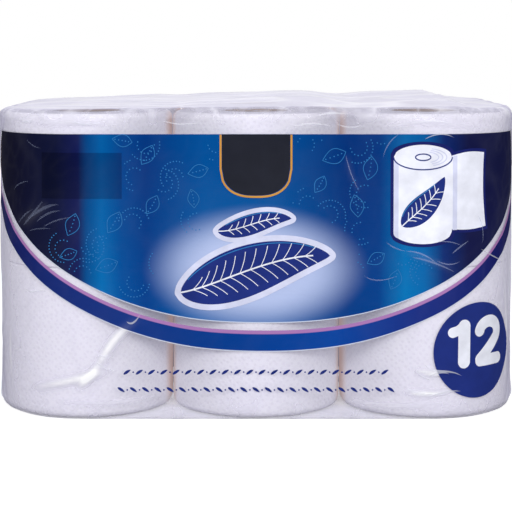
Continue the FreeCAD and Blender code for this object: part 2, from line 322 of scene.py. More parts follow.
@dataclass(frozen=True)
class PrintedFilm:
    """Blown polyethylene film, 0.04 mm thick, gravure printed on its inside.

    The film gives a clear, slightly hazy skin with a soft gloss. The inks are opaque fields of blue,
    navy and pink seen through it. Places are metres across and up a printed face, and a stripe's limits
    are shares of the way down from the blue field's curved edge.
    """

    name: str = "blown_polyethylene_film_gravure_printed"
    haze: float = 0.17
    clear_colour: str = "#dcd9f2"
    pink_colour: str = "#a878b2"
    margin_colour: str = "#dfe8f8"
    glow_colour: str = "#b4c2e8"
    dusk_colour: str = "#d4d8e4"
    panel_colour: str = "#bfc6cf"
    field_stops: tuple = ((0.10, "#14142e"), (0.19, "#12183a"), (0.226, "#171f58"), (0.239, "#014e8e"),
                          (0.262, "#016bb0"), (0.292, "#014f98"), (0.33, "#013e88"), (0.42, "#015ca4"),
                          (0.53, "#015aa2"), (0.64, "#013a82"), (0.69, "#023f88"), (0.73, "#0172b4"),
                          (0.76, "#0166aa"), (0.79, "#0c2c70"), (0.83, "#161a48"))
    band_stops: tuple = ((0.08, "#151b5c"), (0.25, "#16307a"), (0.45, "#013a8a"), (0.62, "#01429a"),
                         (0.75, "#1b2f80"), (0.92, "#14165a"))
    reach: float = 0.21
    top_line: float = 0.1873
    edge: float = 0.00025
    stripe_edge: float = 0.012
    pink_limits: tuple[float, float] = (0.285, 0.415)
    navy_limits: tuple[float, float] = (0.40, 1.0)
    margin_limits: tuple = ((-0.01, 0.03), (0.99, 1.03))
    dusk_heights: tuple[float, float] = (0.085, 0.165)
    panel_across: tuple[float, float] = (-0.1400, -0.0868)
    panel_up: tuple[float, float] = (0.1457, 0.1753)
    glow_middle: tuple[float, float, float] = (0.0, 0.100, 0.0)
    glow_half: tuple[float, float, float] = (0.072, 0.042, 1.0)
    glow_fade: tuple[float, float] = (1.05, 0.45)

    def soft_step(self, tree: bpy.types.NodeTree, value: bpy.types.NodeSocket | bpy.types.Node,
                  low: float, high: float) -> bpy.types.Node:
        """Rise from 0 to 1 as a value goes from low to high.

        Args:
            tree: the material's node tree.
            value: the number that is looked at.
            low: where the step is 0.
            high: where it is 1.

        Returns:
            The step.
        """
        return add_node(tree, "MapRange", {"Value": value, "From Min": low, "From Max": high},
                        interpolation_type="SMOOTHSTEP")

    def window(self, tree: bpy.types.NodeTree, value: bpy.types.NodeSocket,
               limits: tuple[float, float], soft: float) -> bpy.types.Node:
        """One between two limits and zero outside them, as the product of two steps.

        Args:
            tree: the material's node tree.
            value: the number that is looked at.
            limits: where the window starts and ends.
            soft: half the width of its edges.

        Returns:
            The window.
        """
        low, high = limits
        rise = self.soft_step(tree, value, low - soft, low + soft)
        fall = self.soft_step(tree, value, high + soft, high - soft)
        return add_node(tree, "Math", {0: rise, 1: fall}, operation="MULTIPLY")

    def side_ramp(self, tree: bpy.types.NodeTree, across: bpy.types.NodeSocket,
                  stops: tuple) -> bpy.types.Node:
        """Colours from the left to the right of a printed face.

        Args:
            tree: the material's node tree.
            across: way along the film from the face's middle.
            stops: places from 0 at the left to 1 at the right, each with a hex colour.

        Returns:
            The Color Ramp node.
        """
        place = add_node(tree, "MapRange",
                         {"Value": across, "From Min": -self.reach, "From Max": self.reach})
        ramp = add_node(tree, "ValToRGB", {"Fac": place})
        steps = ramp.color_ramp.elements
        while len(steps) < len(stops):
            steps.new(0.5)
        for step, (position, colour) in zip(steps, stops):
            step.position = position
            step.color = linear(colour)
        return ramp

    def field_colour(self, tree: bpy.types.NodeTree, across: bpy.types.NodeSocket,
                     height: bpy.types.NodeSocket) -> bpy.types.Node:
        """Blue of the printed field: a ramp from side to side, darker above, a panel, a pale glow.

        Args:
            tree: the material's node tree.
            across: way along the film from the face's middle.
            height: height on the film.

        Returns:
            The node that gives the field's colour.
        """
        low, high = self.dusk_heights
        dusk = add_node(tree, "MapRange", {"Value": height, "From Min": low, "From Max": high})
        panel = add_node(tree, "Math", {0: self.window(tree, across, self.panel_across, self.edge),
                                        1: self.window(tree, height, self.panel_up, self.edge)},
                         operation="MULTIPLY")
        colour = self.side_ramp(tree, across, self.field_stops)
        for share, shade in ((dusk, self.dusk_colour), (panel, self.panel_colour)):
            colour = add_node(tree, "Mix", {"Factor": share, 6: colour, 7: shade}, data_type="RGBA",
                              blend_type="MULTIPLY")
        flat = add_node(tree, "CombineXYZ", {0: across, 1: height})
        middle = add_node(tree, "VectorMath", {0: flat, 1: self.glow_middle}, operation="SUBTRACT")
        scaled = add_node(tree, "VectorMath", {0: middle, 1: self.glow_half}, operation="DIVIDE")
        away = add_node(tree, "VectorMath", {0: scaled}, operation="LENGTH")
        glow = self.soft_step(tree, away, *self.glow_fade)
        return add_node(tree, "Mix", {"Factor": glow, 6: colour, 7: self.glow_colour}, data_type="RGBA")

    def make(self) -> bpy.types.Material:
        """Build the material: masks for each ink, then one coated surface whose alpha they drive.

        Returns:
            The material.
        """
        material, tree, surface = new_material(self.name)
        flat = add_node(tree, "UVMap", uv_map="flat_film")
        parts = add_node(tree, "SeparateXYZ", {0: flat})
        across, height = parts.outputs[0], parts.outputs[1]
        down, creased = (add_node(tree, "Attribute", attribute_name=name).outputs["Fac"]
                         for name in ("across_stripes", "creased"))
        below = self.soft_step(tree, height, self.top_line + self.edge, self.top_line - self.edge)
        soft = self.stripe_edge
        margins = [self.window(tree, down, limits, soft) for limits in self.margin_limits]
        blue, pink, navy, margin = (
            add_node(tree, "Math", {0: mask, 1: below}, operation="MULTIPLY")
            for mask in (self.soft_step(tree, down, soft, -soft),
                         self.window(tree, down, self.pink_limits, soft),
                         self.window(tree, down, self.navy_limits, soft),
                         add_node(tree, "Math", {0: margins[0], 1: margins[1]}, operation="ADD")))
        colour = add_node(tree, "Mix", {"Factor": margin, 6: self.clear_colour, 7: self.margin_colour},
                          data_type="RGBA")
        for mask, ink in ((blue, self.field_colour(tree, across, height)),
                          (navy, self.side_ramp(tree, across, self.band_stops)),
                          (pink, self.pink_colour)):
            colour = add_node(tree, "Mix", {"Factor": mask, 6: colour, 7: ink}, data_type="RGBA")
        inked = add_node(tree, "Math", {0: blue, 1: navy}, operation="MAXIMUM")
        inked = add_node(tree, "Math", {0: inked, 1: pink}, operation="MAXIMUM")
        printed = add_node(tree, "Math", {0: margin, 1: 0.8, 2: inked}, operation="MULTIPLY_ADD",
                           use_clamp=True)
        aslant = add_node(tree, "LayerWeight", {"Blend": 0.5}).outputs["Facing"]
        steep = add_node(tree, "Math", {0: aslant, 1: 3.0}, operation="POWER")
        veil = add_node(tree, "Math", {0: steep, 1: 0.75, 2: self.haze}, operation="MULTIPLY_ADD")
        cloudy = add_node(tree, "Math", {0: creased, 1: 0.7, 2: veil}, operation="MULTIPLY_ADD",
                          use_clamp=True)
        alpha = add_node(tree, "Math", {0: cloudy, 1: printed}, operation="MAXIMUM")
        # Creased film, at ridges, folds and pleats, is mixed toward white. This is partly the film's own
        # whitening and partly a painted highlight, and only a little over ink.
        whitening_and_sheen_room = add_node(tree, "MapRange", {"Value": inked, "To Min": 0.9, "To Max": 0.06})
        whitening_and_painted_sheen = add_node(tree, "Math", {0: creased, 1: whitening_and_sheen_room}, operation="MULTIPLY", use_clamp=True)
        colour_with_painted_sheen = add_node(tree, "Mix", {"Factor": whitening_and_painted_sheen, 6: colour, 7: "#fdfdff"}, data_type="RGBA")
        set_inputs(tree, surface, {"Base Color": colour_with_painted_sheen, "Alpha": alpha, "Normal": film_relief(tree),
                                   **FILM_GLOSS})
        return material


@dataclass(frozen=True)
class PrintInk:
    """One gravure ink under glossy film: an even, dense colour with the film's own creases."""

    name: str
    colour: str

    def make(self) -> bpy.types.Material:
        """Build the ink: its colour clouded a little, under the film's relief and coat.

        Returns:
            The material.
        """
        material, tree, surface = new_material("gravure_ink_" + self.name)
        place = add_node(tree, "TexCoord").outputs["Object"]
        cloud = add_node(tree, "TexNoise", {"Vector": place, "Scale": 90.0, "Detail": 4.0})
        shift = add_node(tree, "MapRange", {"Value": cloud, "From Min": 0.3, "From Max": 0.7,
                                            "To Min": 0.9, "To Max": 1.1})
        tinted = add_node(tree, "HueSaturation", {"Color": self.colour, "Value": shift})
        set_inputs(tree, surface, {"Base Color": tinted, "Normal": film_relief(tree), **FILM_GLOSS})
        return material


@dataclass(frozen=True)
class CreaseWhiteAndPaintedGlint:
    """Polyethylene film along a sharp fold: a milky white line, partly the film's own stress whitening and
    partly a painted glint for the light that the fold catches.
    """

    name: str = "polyethylene_film_crease_white_painted_glint"
    colour: str = "#f4f6ff"
    cover: float = 0.38

    def make(self) -> bpy.types.Material:
        """Build the milky film, which lets the print show through.

        Returns:
            The material.
        """
        material, tree, surface = new_material(self.name)
        # Milky white that stands partly for a painted glint along the fold.
        set_inputs(tree, surface, {"Base Color": self.colour, "Alpha": self.cover, "Roughness": 0.3,
                                   "IOR": 1.51, "Specular IOR Level": 0.2})
        return material


@dataclass(frozen=True)
class EmbossedTissue:
    """Two-ply tissue, creped and embossed with dots 3 mm apart, which look soft and matt.

    Where two rolls touch, the tissue is painted a warm shade and given a faint painted glow, which stand in
    for the light that the web scatters between them.
    """

    name: str = "two_ply_tissue_creped_embossed"
    colour: str = "#f1eff6"
    hollow_painted_shade_colour: str = "#ece9f2"
    valley_painted_light_colour: str = "#c8ab98"
    valley_painted_glow: float = 0.22
    dot_pitch: float = 0.0034

    def make(self) -> bpy.types.Material:
        """Build the tissue from the roll's own map, whose numbers are metres along and up the web.

        Returns:
            The material.
        """
        material, tree, surface = new_material(self.name)
        web = add_node(tree, "UVMap", uv_map="web")
        turned = add_node(tree, "Mapping", {"Vector": web, "Rotation": (0.0, 0.0, math.radians(45)),
                                            "Scale": (1 / self.dot_pitch, 1 / self.dot_pitch, 1.0)})
        cells = add_node(tree, "TexVoronoi", {"Vector": turned, "Scale": 1.0, "Randomness": 0.55},
                         voronoi_dimensions="2D")
        dots = add_node(tree, "MapRange", {"Value": cells, "From Min": 0.12, "From Max": 0.42},
                        interpolation_type="SMOOTHSTEP")
        creped = add_node(tree, "Mapping", {"Vector": web, "Scale": (900.0, 2600.0, 1.0)})
        crepe = add_node(tree, "TexNoise", {"Vector": creped, "Scale": 1.0, "Detail": 3.0},
                         noise_dimensions="2D")
        soft = add_node(tree, "TexNoise", {"Vector": web, "Scale": 60.0, "Detail": 2.0},
                        noise_dimensions="2D")
        valley = add_node(tree, "Attribute", attribute_name="valley").outputs["Fac"]
        # The dots' hollows are painted slightly darker, as shade in the emboss.
        colour = add_node(tree, "Mix", {"Factor": dots, 6: self.hollow_painted_shade_colour, 7: self.colour},
                          data_type="RGBA")
        # Painted warm shade where the roll touches a neighbour, by the valley measure.
        colour = add_node(tree, "Mix", {"Factor": valley, 6: colour, 7: self.valley_painted_light_colour},
                          data_type="RGBA")
        relief = add_node(tree, "Math", {0: crepe, 1: 0.35, 2: dots}, operation="MULTIPLY_ADD")
        relief = add_node(tree, "Math", {0: soft, 1: 2.0, 2: relief}, operation="MULTIPLY_ADD")
        bump = add_node(tree, "Bump", {"Height": relief, "Strength": 0.3, "Distance": 0.0004})
        # Painted glow in the same place: the tissue gives off light there though it is no lamp.
        painted_glow_strength = add_node(tree, "Math", {0: valley, 1: self.valley_painted_glow}, operation="MULTIPLY")
        set_inputs(tree, surface, {"Base Color": colour, "Normal": bump, "Roughness": 0.95,
                                   "Specular IOR Level": 0.15, "Sheen Weight": 0.25,
                                   "Sheen Roughness": 0.6, "Emission Strength": painted_glow_strength,
                                   "Emission Color": self.valley_painted_light_colour})
        return material


@dataclass(frozen=True)
class CutTissueEdge:
    """Sawn ends of the wound web: fine fuzzy rings, with painted shade that makes the grooves between turns
    a little greyer.
    """

    name: str = "tissue_web_saw_cut_end"
    colour: str = "#f1f0f6"
    groove_painted_shade_colour: str = "#d9d7e2"
    turn_pitch: float = 0.0011

    def make(self) -> bpy.types.Material:
        """Build the rings on the roll's own map, whose second number is metres from the middle.

        The real turns are 0.25 mm apart, too fine for the render, so they are drawn 1.1 mm apart.

        Returns:
            The material.
        """
        material, tree, surface = new_material(self.name)
        web = add_node(tree, "UVMap", uv_map="web")
        uneven = add_node(tree, "TexNoise", {"Vector": web, "Scale": 45.0, "Detail": 2.0},
                          noise_dimensions="2D")
        out = add_node(tree, "SeparateXYZ", {0: web}).outputs[1]
        way = add_node(tree, "Math", {0: uneven, 1: 0.0016, 2: out}, operation="MULTIPLY_ADD")
        turns = add_node(tree, "Math", {0: way, 1: 2 * math.pi / self.turn_pitch}, operation="MULTIPLY")
        wave = add_node(tree, "Math", {0: turns}, operation="SINE")
        rings = add_node(tree, "MapRange", {"Value": wave, "From Min": -1.0, "From Max": 1.0})
        fuzz = add_node(tree, "TexNoise", {"Vector": web, "Scale": 900.0, "Detail": 3.0},
                        noise_dimensions="2D")
        # Painted shade in the grooves between turns.
        colour = add_node(tree, "Mix", {"Factor": rings, 6: self.groove_painted_shade_colour, 7: self.colour},
                          data_type="RGBA")
        relief = add_node(tree, "Math", {0: fuzz, 1: 0.8, 2: rings}, operation="MULTIPLY_ADD")
        bump = add_node(tree, "Bump", {"Height": relief, "Strength": 0.6, "Distance": 0.0003})
        set_inputs(tree, surface, {"Base Color": colour, "Normal": bump, "Roughness": 1.0,
                                   "Specular IOR Level": 0.1})
        return material


@dataclass(frozen=True)
class CoreBoard:
    """Grey-brown chipboard wound on a slant, whose butted edge shows as a spiral line."""

    name: str = "recycled_chipboard_spiral_wound"
    colour: str = "#b49a78"
    fibre_colour: str = "#927859"
    seam_colour: str = "#6d563c"
    seam_lead: float = 0.075
    seam_slope: float = 1.1

    def make(self) -> bpy.types.Material:
        """Build the board on the core's own map: metres round the tube, and metres up it.

        Returns:
            The material.
        """
        material, tree, surface = new_material(self.name)
        board = add_node(tree, "UVMap", uv_map="web")
        fibres = add_node(tree, "TexNoise",
                          {"Vector": board, "Scale": 700.0, "Detail": 5.0, "Roughness": 0.7},
                          noise_dimensions="2D")
        parts = add_node(tree, "SeparateXYZ", {0: board})
        climb = add_node(tree, "Math", {0: parts.outputs[0], 1: -self.seam_slope, 2: parts.outputs[1]},
                         operation="MULTIPLY_ADD")
        turn = add_node(tree, "Math", {0: climb, 1: self.seam_lead}, operation="PINGPONG")
        seam = add_node(tree, "MapRange", {"Value": turn, "From Min": 0.0004, "From Max": 0.0009})
        mottle = add_node(tree, "Mix", {"Factor": fibres, 6: self.fibre_colour, 7: self.colour},
                          data_type="RGBA")
        colour = add_node(tree, "Mix", {"Factor": seam, 6: self.seam_colour, 7: mottle},
                          data_type="RGBA")
        relief = add_node(tree, "Math", {0: fibres, 1: 0.3, 2: seam}, operation="MULTIPLY_ADD")
        bump = add_node(tree, "Bump", {"Height": relief, "Strength": 0.5, "Distance": 0.0003})
        set_inputs(tree, surface, {"Base Color": colour, "Normal": bump, "Roughness": 0.85})
        return material


# ---------------------------------------------------------------- shape of the wrapped pack

@dataclass(frozen=True)
class Crease:
    """A sharp fold line drawn white, partly as a painted glint, in millimetres across and up a printed
    face, and half its width.
    """

    path: tuple[tuple[float, float], ...]
    half_width: float


@dataclass(frozen=True)
class Pleat:
    """A pulled fold in the film along a bent line, in millimetres across and up a printed face. Its
    cloudiness makes the film hazier and whiter along it, partly as a painted highlight.
    """

    path: tuple[tuple[float, float], ...]
    width: float
    height: float
    cloudy: float

    def across(self, places: np.ndarray) -> np.ndarray:
        """Share of the fold at each place: a bell of the distance to its curve, fading at its ends.

        Args:
            places: one row of millimetres across and up a place.

        Returns:
            A number from 0 to 1 a place.
        """
        line = curve_through(list(self.path), 40)
        reach = 3 * self.width
        near = ((places > line.min(axis=0) - reach) & (places < line.max(axis=0) + reach)).all(axis=1)
        away = np.linalg.norm(places[near][:, None, :] - line[None], axis=2)
        fade = np.sin(math.pi * (away.argmin(axis=1) + 0.5) / 40) ** 0.6
        shares = np.zeros(len(places))
        shares[near] = fade * np.exp(-(away.min(axis=1) / self.width) ** 2)
        return shares


# Pulled pleats and sharp creases that both printed faces carry. The creases are white lines, partly painted
# glints; the pleats' cloudiness whitens the film along them, partly as a painted highlight.
PLEATS = (Pleat(((-77, 67), (-92, 58), (-98, 46), (-104, 34)), 2.9, 1.0, 1.15),
          Pleat(((-98, 33), (-112, 29), (-127, 25), (-148, 20)), 2.9, 0.9, 1.05),
          Pleat(((-103, 38), (-108, 28), (-117, 21)), 2.6, 0.7, 1.0),
          Pleat(((-155, 128), (-145, 135), (-136, 142)), 2.6, 0.8, 0.4),
          Pleat(((98, 111), (112, 107), (128, 99)), 2.0, 0.6, 0.5),
          Pleat(((59, 173), (60, 163), (66, 151)), 1.8, 0.5, 0.3),
          Pleat(((104, 34), (112, 30), (130, 33)), 1.8, 0.7, 1.2),
          Pleat(((98, 20), (110, 16), (128, 20)), 1.8, 0.7, 1.2),
          Pleat(((-128, 13), (-95, 8), (-64, 18)), 1.8, 0.6, 0.4),
          Pleat(((60, 15), (88, 7), (124, 12)), 1.8, 0.6, 0.4),
          Pleat(((-170, 60), (-176, 40), (-168, 14)), 1.8, 0.7, 0.7),
          Pleat(((176, 90), (182, 60), (178, 20)), 1.8, 0.7, 0.7),
          Pleat(((-150, 193), (-118, 198), (-86, 192)), 1.8, 0.6, 0.4),
          Pleat(((84, 192), (110, 198), (150, 190)), 1.8, 0.6, 0.4))

CREASE_GLINTS = tuple(Crease(path, half_width) for half_width, path in (
    (0.55, ((-160, 128), (-154, 135), (-147, 138))), (0.9, ((-155, 127), (-146, 135), (-139, 144))),
    (1, ((-149, 132), (-137, 142), (-128, 142))), (0.7, ((-144, 130), (-135, 138), (-126, 138))),
    (0.5, ((-139, 127), (-129, 133), (-119, 134))), (0.4, ((-150, 124), (-140, 127), (-133, 126))),
    (0.4, ((-166, 150), (-158, 156), (-150, 156))), (0.4, ((-152, 183), (-146, 178), (-140, 178))),
    (0.35, ((118, 118), (126, 119), (134, 115))), (0.5, ((127, 110), (133, 115), (139, 118))),
    (0.45, ((97, 112), (109, 112), (118, 103))), (0.6, ((101, 108), (115, 106), (129, 98))),
    (0.4, ((117, 106), (125, 101), (133, 105))), (0.35, ((84, 118), (90, 113), (97, 112))),
    (0.4, ((109, 184), (119, 190), (128, 185))), (0.4, ((149, 112), (157, 107), (177, 100))),
    (0.35, ((92, 187), (84, 182), (82, 172))), (0.35, ((58, 174), (60, 163), (67, 150))),
    (0.35, ((70, 96), (78, 90), (92, 96))), (0.35, ((146, 134), (152, 126), (150, 116))),
    (0.7, ((110, 37), (117, 30), (124, 36), (135, 29))), (0.6, ((104, 34), (108, 29), (114, 27))),
    (0.5, ((112, 29), (119, 34), (126, 31))), (0.6, ((111, 15), (124, 21), (134, 19))),
    (0.7, ((98, 22), (106, 17), (116, 18))), (0.8, ((-153, 85), (-147, 82), (-145, 87), (-137, 85))),
    (0.6, ((-104, 39), (-99, 35), (-92, 33))), (0.5, ((-103, 44), (-97, 42), (-93, 43))),
    (0.6, ((-84, 66), (-80, 62), (-75, 71))), (1, ((-159, 198), (-152, 193), (-146, 197))),
    (0.6, ((-118, 196), (-112, 192), (-100, 195))), (0.6, ((40, 199), (48, 202), (60, 200))),
    (0.5, ((52, 194), (60, 190), (70, 193))), (0.5, ((24, 192), (36, 196), (50, 192))),
    (0.5, ((100, 194), (116, 198), (128, 193))), (0.5, ((-60, 196), (-48, 192), (-36, 195)))))


@dataclass(frozen=True)
class PackShape:
    """The film's skin as a function of the way round the pack and the height on it, in metres.

    The way round starts at the middle of the front and runs to the right. The plan is a rectangle's
    outline rounded by a circle of the corner radius that is carried along it. The rim and the crest of
    the top have one height at each station along x. What is mapped to print_end lies above all print.
    """

    half_width: float = 0.1145
    half_depth: float = 0.05775
    corner_radius: float = 0.05975
    rim_height: float = 0.2045
    shoulder_in: float = 0.0065
    shoulder_down: float = 0.0075
    heel_in: float = 0.0055
    heel_up: float = 0.0075
    column_pitch: float = 0.1145
    squeeze: float = 0.014
    slack_down: float = 0.0195
    roll_top: float = 0.2001
    base_height: float = 0.0003
    print_end: float = 0.3
    stations: tuple = (-0.172, -0.160, -0.123, -0.084, -0.048, 0.0, 0.035, 0.070, 0.098, 0.130, 0.146,
                       0.158, 0.172)
    rims: tuple = (0.2022, 0.2024, 0.2028, 0.2036, 0.2040, 0.2044, 0.2045, 0.2040, 0.2040, 0.2045,
                   0.2032, 0.2030, 0.2036)
    crests: tuple = (0.2030, 0.2032, 0.2040, 0.2056, 0.2068, 0.2092, 0.2098, 0.2072, 0.2080, 0.2098,
                     0.2040, 0.2036, 0.2046)

    @property
    def corner_way(self) -> float:
        """Length of one rounded corner."""
        return self.corner_radius * math.pi / 2

    @property
    def way_round(self) -> float:
        """Length of the whole plan outline."""
        return 4 * (self.half_width + self.half_depth) + 4 * self.corner_way

    def plan(self, way: np.ndarray) -> tuple[np.ndarray, np.ndarray]:
        """Where the outline is, and which way it faces.

        A point walks round the inner rectangle while a heading turns only at its corners; the outline
        is one corner radius away from the point along the heading.

        Args:
            way: metres along the outline from the middle of the front.

        Returns:
            Points and outward directions, each one row of x and y a point.
        """
        wide, deep, bend = self.half_width, self.half_depth, self.corner_way
        stops = np.cumsum([0, wide, bend, 2 * deep, bend, 2 * wide, bend, 2 * deep, bend, wide])
        along = np.mod(way, self.way_round)
        heading = np.radians(np.interp(along, stops, [-90, -90, 0, 0, 90, 90, 180, 180, 270, 270]))
        inner_x = np.interp(along, stops, [0, wide, wide, wide, wide, -wide, -wide, -wide, -wide, 0])
        inner_y = np.interp(along, stops,
                            [-deep, -deep, -deep, deep, deep, deep, deep, -deep, -deep, -deep])
        facing = np.stack([np.cos(heading), np.sin(heading)], -1)
        return np.stack([inner_x, inner_y], -1) + self.corner_radius * facing, facing

    def slackened(self, points: np.ndarray) -> np.ndarray:
        """Lower the shoulder to the rim's own height, which differs along the pack.

        The drop grows with the square of the way up over the last 20 mm, so the print stays flat.

        Args:
            points: places on the wall.

        Returns:
            The places, lowered.
        """
        lowered = points.copy()
        drop = self.rim_height - np.interp(points[:, 0], self.stations, self.rims)
        share = np.clip(1 - (self.rim_height - points[:, 2]) / self.slack_down, 0, 1)
        lowered[:, 2] -= drop * share ** 2
        return lowered

    def draw_in(self, points: np.ndarray) -> np.ndarray:
        """Shrink of the wrap on the upper layer: x is narrowed by a share that grows with height."""
        drawn = points.copy()
        drawn[..., 0] *= 1.0 - self.squeeze * np.clip(points[..., 2] / 0.2, 0.0, 1.1) ** 1.5
        return drawn

    def inset(self, height: np.ndarray) -> np.ndarray:
        """How far the wall is in from the plan outline, by quarter ellipses at heel and shoulder.

        Args:
            height: height above the floor.

        Returns:
            The distance inwards.
        """
        heel = np.clip(1 - height / self.heel_up, 0, 1)
        shoulder = np.clip(1 - (self.rim_height - height) / self.shoulder_down, 0, 1)
        return (self.heel_in * (1 - np.sqrt(1 - heel ** 2))
                + self.shoulder_in * (1 - np.sqrt(1 - shoulder ** 2)))

    def relief(self, points: np.ndarray) -> tuple[np.ndarray, np.ndarray]:
        """Folds of the film by place: small on the taut walls, strong near the rim and the ends.

        It is a low wide crinkle, plus two sets of sharp ridges about 34 and 15 mm apart, each times how
        loose the film is there: from 190 mm up, beyond 140 mm to the sides, and near the floor.

        Args:
            points: places on the smooth skin.

        Returns:
            How far the film stands out, in metres, and how creased it is from 0 to 1.
        """
        loose = np.clip((points[:, 2] - 0.190) / 0.012, 0, 1)
        end = np.clip((np.abs(points[:, 0]) - 0.140) / 0.03, 0, 1)
        low = bump_at(points[:, 2], 0.004, 0.012)
        wide = crinkle(points * [1.0, 1.0, 0.7], 0.045, 3)
        ridges = sharp_folds(points * [1.0, 1.0, 0.55], 0.034, 8)
        fine = sharp_folds(points, 0.015, 21)
        height = (0.00012 + 0.00022 * wide + 0.0011 * ridges * (loose + 0.45 * end + 0.5 * low)
                  + 0.0006 * fine * (loose + 0.3 * low))
        creased = (0.10 + 0.6 * loose + 0.22 * end + 0.3 * low) * (0.6 * ridges ** 2 + 0.4 * fine ** 2)
        return height, creased

    def from_face_middle(self, way: np.ndarray) -> np.ndarray:
        """Way along the film from the middle of the nearer printed face."""
        half = self.way_round / 2
        return np.mod(way + half / 2, half) - half / 2

    def pulled(self, way: np.ndarray, height: np.ndarray) -> tuple[np.ndarray, np.ndarray]:
        """What the pulled pleats add to the film's wall, as the sum of their bells.

        Args:
            way: metres round from the middle of the front.
            height: metres above the floor.

        Returns:
            How far the film stands out, in metres, and how cloudy it is.
        """
        places = np.column_stack([self.from_face_middle(way), height]) / MM
        shares = np.stack([pleat.across(places) for pleat in PLEATS])
        out = np.array([pleat.height for pleat in PLEATS]) @ shares * MM
        return out, np.array([pleat.cloudy for pleat in PLEATS]) @ shares

    def wall(self, way: np.ndarray, height: np.ndarray, lift: float | np.ndarray = 0.0) -> np.ndarray:
        """Point on the film's wall.

        Args:
            way: metres round from the middle of the front.
            height: metres above the floor.
            lift: metres outside the film.

        Returns:
            One row of x, y and z a point.
        """
        outline, facing = self.plan(way)
        flat = outline - self.inset(height)[:, None] * facing
        smooth = np.column_stack([flat, height])
        out = self.relief(smooth)[0] + self.pulled(way, height)[0] + lift
        smooth[:, :2] += out[:, None] * facing
        return self.draw_in(self.slackened(smooth))

    def top_folds(self, across: np.ndarray, depth: np.ndarray) -> np.ndarray:
        """Ridges of the loose top film, which run mostly along the pack, as it is pulled to its ends.

        Args:
            across: x in metres.
            depth: y in metres.

        Returns:
            A number from 0 to 1 a place.
        """
        places = np.column_stack([across * 0.42, depth * 1.1, np.full_like(across, 0.3)])
        return sharp_folds(places, 0.034, 12)

    def top_height(self, across: np.ndarray, depth: np.ndarray) -> np.ndarray:
        """Height of the loose top film over a place in the plan.

        It rises from the rim to a crest whose height differs along the pack, sinks a little into the
        valleys between the rolls, carries soft folds, and never sinks into the rolls.

        Args:
            across: x in metres.
            depth: y in metres.

        Returns:
            The height.
        """
        beyond = np.stack([np.abs(across) - self.half_width, np.abs(depth) - self.half_depth], -1)
        outside = np.linalg.norm(np.clip(beyond, 0, None), axis=-1) + np.minimum(beyond.max(axis=-1), 0)
        inwards = np.clip(self.corner_radius - self.shoulder_in - outside, 0, None)
        rim = np.interp(across, self.stations, self.rims)
        rise = (np.interp(across, self.stations, self.crests) - rim) * (1 - np.exp(-inwards / 0.018))
        valley = bump_at(np.abs(across), self.column_pitch / 2, 0.014) + bump_at(depth, 0, 0.016)
        places = np.column_stack([across * 0.7, depth, np.zeros_like(across)])
        folds = crinkle(places, 0.05, 5) * 0.0009 + self.top_folds(across, depth) * 0.0012
        settle = 1 - np.exp(-inwards / 0.008)
        loose = rim + rise + settle * (folds - 0.0008 - 0.0014 * valley)
        floor = self.roll_top + 0.0004
        return floor + 0.5 * (loose - floor + np.sqrt((loose - floor) ** 2 + 2.5e-7))


@dataclass(frozen=True)
class Stripes:
    """The curved edge of the print: two power curves of the way round, in metres.

    A share of clear is well below both stripes.
    """

    blue_foot: float = 0.0654
    blue_rise: float = 0.1345
    blue_reach: float = 0.2282
    blue_power: float = 2.45
    navy_foot: float = 0.0464
    navy_rise: float = 0.1283
    navy_reach: float = 0.2294
    navy_power: float = 2.335
    middle: float = 0.005
    clear: float = 2.0

    def share(self, across: np.ndarray, height: np.ndarray) -> np.ndarray:
        """How far down a place is from the blue field's edge (0) to the navy stripe's foot (1).

        Each edge stands at its foot plus its rise times the way from the middle, as a share of its
        reach, to its power.

        Args:
            across: metres from the middle of the face along the film.
            height: metres above the floor.

        Returns:
            The share, below 0 in the blue field and above 1 under the stripe.
        """
        away = np.abs(across - self.middle)
        blue = self.blue_foot + self.blue_rise * (away / self.blue_reach) ** self.blue_power
        navy = self.navy_foot + self.navy_rise * (away / self.navy_reach) ** self.navy_power
        return (blue - height) / (blue - navy)


# ---------------------------------------------------------------- film wrap

